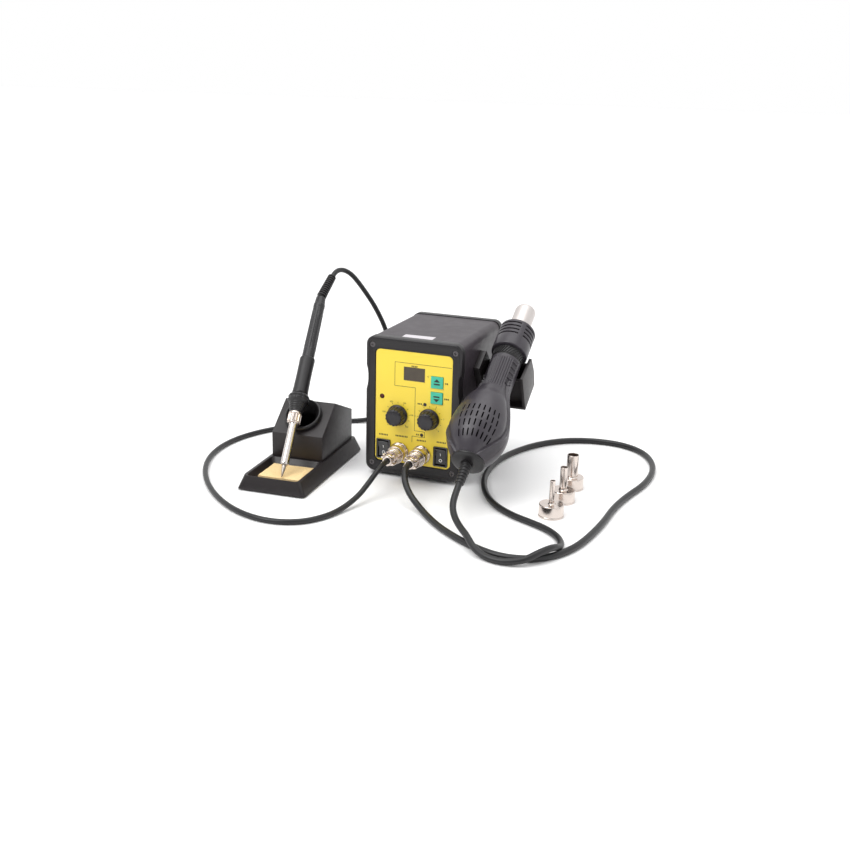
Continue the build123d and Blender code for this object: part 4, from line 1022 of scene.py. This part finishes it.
def slotCutters():
    # short slanted slots through the bulb's upper face, one row behind the other
    plan = gunPlan["slot"]
    source = bmesh.new()
    for row in range(plan["rows"]):
        for column in range(plan["columns"]):
            place = column - (plan["columns"] - 1) / 2
            angle = math.radians(plan["centre"] + place * plan["fan"] + row * plan["shift"] - 90.0)
            t = plan["first"] + row * plan["alongStep"] - abs(place) * 0.5
            centre = gunSurface(t, angle, False)
            heading = (centre - gunSurface(t - 1.0, angle, False)).normalized()
            out = Vector((math.cos(angle), math.sin(angle), 0.0))
            out = (out - heading * out.dot(heading)).normalized()
            side = heading.cross(out)
            half, narrow = plan["length"] / 2, plan["width"] / 2
            outline = [(half - narrow, -narrow), (half, 0), (half - narrow, narrow), (narrow - half, narrow),
                       (-half, 0), (narrow - half, -narrow)]
            levels = []
            for level in (-3.6, 2.0):
                levels.append([
                    source.verts.new(centre + heading * a + side * b + out * level) for a, b in outline
                ])
            source.faces.new(levels[0][::-1])
            source.faces.new(levels[1])
            walled(source, *levels)
    bmesh.ops.recalc_face_normals(source, faces=source.faces)
    return linked("cutters", asMesh(source, "cutters"))


def gunShell(name, begin, node, detailed):
    plan = gunPlan
    source = bmesh.new()
    rows = []
    gap = math.radians(0.35)
    steps = int(plan["gripEnd"] / plan["step"])
    for row in range(steps + 1):
        t = plan["gripEnd"] * row / steps
        line = []
        for k in range(plan["arcs"] + 1):
            angle = begin + gap + (math.pi - 2 * gap) * k / plan["arcs"]
            line.append(source.verts.new(gunSurface(t, angle, detailed)))
        rows.append(line)
    for first, second in zip(rows, rows[1:]):
        walled(source, first, second, closed=False)
    bmesh.ops.recalc_face_normals(source, faces=source.faces)
    middle = rows[steps // 2][plan["arcs"] // 2]
    if middle.normal.dot(Vector((middle.co.x, middle.co.y, 0))) < 0:
        bmesh.ops.reverse_faces(source, faces=source.faces)
    modifiers = [("SOLIDIFY", {"thickness": plan["wall"], "offset": -1.0, "use_even_offset": False})]
    if detailed:
        cutters = slotCutters()
        modifiers.append(("BOOLEAN", {"operation": "DIFFERENCE", "solver": "EXACT", "object": cutters}))
    made = evaluated(asMesh(source), modifiers)
    if detailed:
        bpy.data.objects.remove(cutters)
    made.transform(gunFrame)
    finishPiece(name, made, "gun_plastic", "gun", [node], angle=38)


gunShell("gunFrontShaped", -math.pi, "gun_front_shell", True)
gunShell("gunBackShaped", 0.0, "gun_back_shell", False)
print("gun shells made")


def ribbedOutline(start, end, first, last, ribs, depth, core=0.0):
    # a tapering sleeve with square-cut ribs
    made = [(core, start)]
    pitch = (end - start) / ribs
    for k in range(ribs):
        low = start + k * pitch
        radius = first + (last - first) * (k + 0.5) / ribs
        made += [
            (radius - depth, low), (radius - depth, low + pitch * 0.34), (radius, low + pitch * 0.42),
            (radius * 0.995, low + pitch * 0.9), (radius - depth, low + pitch * 0.98),
        ]
    return made + [(core, end)]


fittingPlan = {
    "cap": ((5.8, -0.2), (16.8, -0.2), (17.1, -1.2), (16.4, -2.6), (13.5, -3.8), (8.6, -4.6), (5.8, -4.7)),
    "sleeve": {"start": -30.0, "end": -5.0, "first": 4.3, "last": 5.9, "ribs": 7, "depth": 1.1},
    "collar": ((5.6, -5.0), (5.6, 0.0), (7.4, 0.0), (7.4, 2.8), (0, 2.8)),
    "ring": ((12.8, 133.2), (15.6, 133.2), (15.9, 134.0), (15.2, 135.0), (15.2, 143.2), (15.9, 144.0),
             (15.6, 144.8), (12.8, 144.8)),
    "bars": 34, "barRadius": 15.2, "barLean": 2.2, "barSpan": (134.6, 143.6),
    "barProfile": ((-0.5, -0.75), (0.9, -0.4), (0.9, 0.4), (-0.5, 0.75)),
}


def gunFittings():
    plan = fittingPlan
    addPiece(
        "gunEndCapTurned", lathe(eased(plan["cap"], 0.6), 96), "gun_plastic", "gun", gunFrame, ["gun_end_cap"],
        finish=finishes["phenolic"],
    )
    sleeve = ribbedOutline(**plan["sleeve"])[:-1] + list(plan["collar"])
    addPiece(
        "gunStrainReliefRibbed", lathe(eased(sleeve, 0.3, 3), 48), "rubber", "gun", gunFrame,
        ["gun_strain_relief"],
    )
    core = lathe(eased(plan["ring"], 0.3), 96)
    bar = bmesh.new()
    low, high = [
        [bar.verts.new((x, y + side * plan["barLean"], height)) for x, y in plan["barProfile"]]
        for side, height in zip((-1, 1), plan["barSpan"])
    ]
    bar.faces.new(low[::-1])
    bar.faces.new(high)
    walled(bar, low, high)
    repeatedPiece(
        "gripRingSerrated", core, bar, "gun_plastic", "gun", gunFrame, ["grip_ring"],
        finish=finishes["phenolic"], count=plan["bars"], radius=plan["barRadius"], turn=2 * math.pi / plan["bars"],
    )


gunFittings()
softened("vent_cap", 0.35, "gun_plastic", "gun", segments=2)


# the barrel's wall as (radius, height), with a rolled-in mouth
barrelOutline = (
    (10.2, 150.0), (12.2, 150.0), (12.2, 151.5), (10.9, 151.5), (10.9, 181.5), (11.2, 181.6), (11.2, 209.7),
    (10.9, 211.6), (10.2, 212.9), (9.2, 213.6), (8.6, 213.6), (8.5, 213.0), (9.3, 212.2), (10.2, 210.2),
)
addPiece("barrelTurned", lathe(eased(barrelOutline, 0.4), 96), "steel", "gun", gunFrame, ["steel_tube"])
softened("gun_holder", 0.7, "holder_plastic", "station")
print("gun finished")

# ---- soldering iron ----
ironPlan = {
    "tip": ((0, 0), (0.45, 0.35), (0.8, 2.0), (2.1, 10.5), (2.2, 11.5), (2.2, 30.0), (0, 30.0)),
    "tube": ((2.35, 13.2), (3.2, 13.2), (3.9, 14.2), (4.3, 15.6), (4.3, 61.0), (5.4, 63.6), (5.4, 65.4),
             (3.4, 65.4), (3.4, 18.0), (2.35, 17.0)),
    "collar": {"rings": 4, "start": 77.0, "pitch": 2.5, "radius": 7.2, "grow": 0.55},
    "nut": {"start": 62.0, "end": 74.8, "root": 6.3, "lobe": 7.3, "lobes": 12},
    "grip": {"start": 97.0, "end": 143.0}, "handle": {"end": 223.0, "flutes": 10},
    "relief": {"lean": (0.02, 0.82, 0.572), "length": 32.5, "offset": 1.5},
}
tubeSteel = turnedMetal("ironTubeSteel", (0.70, 0.65, 0.62), 0.2, ironTip, ironAlong, 0.5, 0.003)


def solderingIron():
    tip, tube = eased(ironPlan["tip"], 0.3), eased(ironPlan["tube"], 0.5)
    addPiece("ironTipTurned", lathe(tip, 48), "tip_plate", "iron", ironFrame, ["iron_tip"])
    addPiece(
        "ironTubeTurned", lathe(tube, 72), "steel", "iron", ironFrame, ["iron_tube"],
        finish=tubeSteel,
    )
    plan = ironPlan["nut"]
    root, lobe, start, end = plan["root"], plan["lobe"], plan["start"], plan["end"]
    nut = lathe(eased([
        (4.5, start), (root - 0.5, start), (root, start + 0.7), (root, end - 2.6), (lobe - 0.2, end - 2.4),
        (lobe - 0.2, end - 0.3), (root, end), (5.5, end), (5.5, 65.6), (4.5, 63.2),
    ], 0.3), 72)
    ridge = bmesh.new()
    slab(ridge, discOutline(0, 0, 1.15, 10), start + 1.2, end - 2.5)
    bmesh.ops.bevel(
        ridge, geom=[edge for edge in ridge.edges if abs(edge.verts[0].co.z - edge.verts[1].co.z) < 0.01],
        offset=0.5, segments=2, affect="EDGES",
    )
    repeatedPiece(
        "tipNutLobed", nut, ridge, "nickel", "iron", ironFrame, ["tip_nut"],
        count=plan["lobes"], radius=root - 0.15, turn=2 * math.pi / plan["lobes"],
    )
    taper = [(3.0, 75.1), (6.9, 75.1)]
    plan = ironPlan["collar"]
    for k in range(plan["rings"]):
        low = plan["start"] + k * plan["pitch"]
        radius = plan["radius"] + k * plan["grow"]
        taper += [
            (radius - 0.5, low), (radius + 0.1, low + 0.5), (radius + 0.25, low + 1.6), (radius - 0.3, low + 2.1),
        ]
    taper += [(9.8, 87.6), (11.2, 88.8), (11.5, 90.4), (10.7, 91.5), (10.7, 92.2), (11.5, 93.2), (11.2, 94.6),
              (9.2, 96.6), (5.4, 96.8), (5.4, 87.0), (3.0, 83.0)]

    def lumped(radius, height, angle):
        if 88.8 < height < 95.4 and radius > 9.0:
            return radius - 0.55 * max(0.0, math.cos(12 * angle)) ** 0.7
        return radius

    addPiece(
        "ironCollarShaped", lathe(eased(taper, 0.4, 3), 96, lumped), "phenolic", "iron", ironFrame,
        ["iron_collar"],
    )
    begin, stop = ironPlan["grip"]["start"], ironPlan["grip"]["end"]
    grip = [(6.95, begin + 0.1), (8.2, begin + 0.1), (8.6, begin + 1.4), (8.3, begin + 7), (8.05, begin + 20),
            (8.1, begin + 34), (8.25, stop - 1.4), (7.7, stop), (6.95, stop)]
    addPiece("ironGripShaped", lathe(eased(grip, 1.0), 72), "rubber", "iron", ironFrame, ["iron_grip"])
    finish = ironPlan["handle"]["end"]
    handle = [(0, begin + 0.3), (6.8, begin + 0.3), (6.8, stop + 1.0), (6.75, stop + 3.0), (6.2, finish - 14),
              (6.35, finish - 13), (6.35, finish - 9.5), (5.9, finish - 8.5), (5.3, finish), (0, finish)]
    taller = eased(handle, 0.5)
    lengthwise = []
    for (a, low), (b, high) in zip(taller, taller[1:]):
        lengthwise.append((a, low))
        if high - low > 20 and stop < high < finish - 12:
            for k in range(1, 12):
                lengthwise.append((a + (b - a) * k / 12, low + (high - low) * k / 12))
    lengthwise.append(taller[-1])

    def fluted(radius, height, angle):
        inside = soft(height, stop + 8, stop + 14) * (1 - soft(height, finish - 26, finish - 20))
        wave = max(0.0, math.cos(ironPlan["handle"]["flutes"] * angle)) ** 0.8
        return radius - 0.75 * inside * wave

    addPiece(
        "ironHandleShaped", lathe(lengthwise, 120, fluted), "handle_plastic", "iron", ironFrame, ["iron_handle"],
    )
    plan = ironPlan["relief"]
    relief = ribbedOutline(0.0, plan["length"], 5.4, 4.7, 11, 1.8)
    reliefStart = ironTip + ironAlong * (finish + plan["offset"]) * mm
    addPiece(
        "ironStrainReliefRibbed", lathe(eased(relief, 0.2, 2), 40), "rubber", "iron",
        axisFrame(reliefStart, plan["lean"]), ["iron_strain_relief"],
    )


solderingIron()
print("iron made")

# ---- stand ----
softened("stand_base", 1.5, "holder_plastic", "station", segments=4)
softened("stand_block", 1.4, "holder_plastic", "station", segments=4)


# the funnel's wall as (radius, height), from its rolled rim down to its throat
funnelOutline = (
    (17.2, 5.0), (18.4, 5.4), (19.5, 4.8), (20.0, 3.4), (20.0, 0.2), (16.8, 0.1), (16.6, -3.0), (12.0, -26.0),
    (9.8, -26.0), (10.4, -9.0), (11.6, -5.5), (13.6, -2.0), (15.6, 2.2),
)
funnel = lathe(eased(funnelOutline, 0.8), 96)
addPiece("standFunnelTurned", funnel, "phenolic", "station", funnelFrame, ["stand_funnel"])

spongePlan = {"turn": 3.8, "size": (45.0, 39.0, 7.0), "cell": 1.1, "rough": 0.35, "sag": 0.7}


def wetSponge():
    plan = spongePlan
    low, high = [Vector(corner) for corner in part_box("sponge")]
    middle = (low + high) / 2
    source = bmesh.new()
    width, depth, height = plan["size"]
    across, down = int(width / plan["cell"]), int(depth / plan["cell"])

    def spot(u, v, level):
        x, y = (u - 0.5) * width, (v - 0.5) * depth
        edge = min(u, 1 - u, v, 1 - v)
        sag = plan["sag"] * (1 - soft(edge, 0.0, 0.06)) if level else 0.0
        bump = noise.noise(Vector((x * 0.55, y * 0.55, level))) * plan["rough"] if level else 0.0
        wave = noise.noise(Vector((x * 0.12, y * 0.12, 7.0))) * 0.35 if level else 0.0
        return Vector((x, y, height * level - sag + min(bump + wave, 0.25) - 0.3 * level))

    grids = []
    for level in (0, 1):
        grids.append([
            [source.verts.new(spot(i / across, j / down, level)) for j in range(down + 1)]
            for i in range(across + 1)
        ])
    for level, grid in enumerate(grids):
        for i in range(across):
            for j in range(down):
                face = (grid[i][j], grid[i + 1][j], grid[i + 1][j + 1], grid[i][j + 1])
                source.faces.new(face if level else face[::-1])
    for i in range(across):
        for j in (0, down):
            source.faces.new((grids[0][i][j], grids[0][i + 1][j], grids[1][i + 1][j], grids[1][i][j]))
    for j in range(down):
        for i in (0, across):
            source.faces.new((grids[0][i][j], grids[0][i][j + 1], grids[1][i][j + 1], grids[1][i][j]))
    turn = Matrix.Rotation(math.radians(plan["turn"]), 4, "Z")
    place = Matrix.Translation((middle.x, middle.y, low.z)) @ turn @ Matrix.Scale(mm, 4)
    addPiece("spongeShaped", source, "sponge", "station", place, ["sponge"], angle=60)


wetSponge()
print("stand made")

# ---- nozzles ----
nozzlePlan = {
    "small": 2.65, "medium": 3.85, "large": 6.0, "collar": 12.0, "height": 36.5, "rim": 12.25, "bore": 11.45,
}


def nozzle(label):
    plan = nozzlePlan
    tube, rim, collar, top = plan[label], plan["rim"], plan["collar"], plan["height"]
    mount = mounts[label + "_nozzle_bore"]
    outline = [
        (plan["bore"], 0), (rim + 0.35, 0), (rim + 0.35, 1.5), (rim, 1.9), (rim, collar + 0.2),
        (rim - 0.5, collar + 0.8), (rim - 1.1, collar + 0.5), (tube + 1.2, collar + 0.5),
        (tube + 0.4, collar + 0.9), (tube, collar + 1.8),
        (tube, top - 0.3), (tube - 0.2, top), (tube - 0.6, top), (tube - 0.6, collar + 0.5),
        (plan["bore"], collar - 0.2),
    ]
    place = Matrix.Translation((mount["pos_m"][0], mount["pos_m"][1], 0)) @ Matrix.Scale(mm, 4)
    addPiece(
        label + "NozzleTurned", lathe(eased(outline, 0.35), 96), "nickel", label + "_nozzle", place,
        ["nozzle_" + label],
    )


for label in ("small", "medium", "large"):
    nozzle(label)
print("nozzles made")

# ---- floor, light and camera ----
stagePlan = {
    "floor": 30.0, "floorTone": 0.95, "front": 0.30, "worldStrength": 1.0,
    "sun": {"from": (-0.45, -0.75, 1.2), "strength": 1.35, "spread": 50.0},
    "key": {"at": (-0.9, -1.3, 1.5), "size": 1.1, "power": 9.0},
    "fill": {"at": (1.5, -0.9, 0.9), "size": 1.4, "power": 3.0},
    "top": {"at": (0.1, 0.2, 1.7), "size": 1.5, "power": 8.0},
    "middle": (0.0, 0.0, 0.06),
}
cameraPlan = {
    "azimuth": 20.798, "elevation": 17.746, "roll": 1.399, "distance": 1.20661,
    "target": (-0.0188, 0.0485, 0.0391), "lens": 46.59, "sensor": 36.0,
}


def studio():
    plan = stagePlan
    half = plan["floor"] / 2
    source = bmesh.new()
    corners = [source.verts.new((x, y, 0)) for x, y in ((-half, -half), (half, -half), (half, half), (-half, half))]
    source.faces.new(corners)
    data = asMesh(source, "floor")
    floor = linked("floor", data)
    paper = Finish("floorPaper", Roughness=0.7)
    tone = (plan["floorTone"],) * 3
    paper.feed("Base Color", paper.blend(paper.cloud(3.0), tone, shade(tone, 1.02)))
    data.materials.append(paper.material)
    for label in ("key", "fill", "top"):
        light = bpy.data.lights.new(label + "Light", "AREA")
        light.shape = "DISK"
        light.size = plan[label]["size"]
        light.energy = plan[label]["power"]
        lamp = linked(label + "Light", light)
        lamp.location = plan[label]["at"]
        aim = Vector(plan["middle"]) - lamp.location
        lamp.rotation_euler = aim.to_track_quat("-Z", "Y").to_euler()
    sun = bpy.data.lights.new("softSun", "SUN")
    sun.energy = plan["sun"]["strength"]
    sun.angle = math.radians(plan["sun"]["spread"])
    lamp = linked("softSun", sun)
    lamp.rotation_euler = Vector(plan["sun"]["from"]).to_track_quat("Z", "Y").to_euler()
    world = bpy.data.worlds.new("studioWorld")
    world.use_nodes = True
    backdrop = world.node_tree.nodes["Background"]
    backdrop.inputs["Strength"].default_value = plan["worldStrength"]
    sky = NodeSheet(world.node_tree)
    direction = sky.node("ShaderNodeTexCoord", output="Generated")
    parts = sky.node("ShaderNodeSeparateXYZ", None, {0: direction}, output="Y")
    seen = sky.node("ShaderNodeLightPath", output="Is Camera Ray")
    dim = (plan["front"],) * 3
    ramp = sky.node(
        "ShaderNodeValToRGB", {"stops": ((0.0, dim), (0.22, dim), (0.5, (1, 1, 1)), (1.0, (1, 1, 1)))},
        {0: (parts * 0.5 + 0.5 + seen).clamped()},
    )
    world.node_tree.links.new(ramp.socket, backdrop.inputs["Color"])
    bpy.context.scene.world = world
    bpy.context.scene.view_settings.view_transform = "Standard"


def camera():
    plan = cameraPlan
    az, el, roll = [math.radians(plan[key]) for key in ("azimuth", "elevation", "roll")]
    right = Vector((math.cos(az), math.sin(az), 0))
    back = Vector((math.sin(az) * math.cos(el), -math.cos(az) * math.cos(el), math.sin(el)))
    up = back.cross(right)
    across = right * math.cos(roll) + up * math.sin(roll)
    above = up * math.cos(roll) - right * math.sin(roll)
    turn = Matrix((across, above, back)).transposed().to_4x4()
    lens = bpy.data.cameras.new("camera")
    lens.lens = plan["lens"]
    lens.sensor_width = plan["sensor"]
    made = linked("camera", lens)
    made.matrix_world = Matrix.Translation(Vector(plan["target"]) + back * plan["distance"]) @ turn
    bpy.context.scene.camera = made


studio()
camera()
bpy.context.view_layer.update()
print("scene finished")
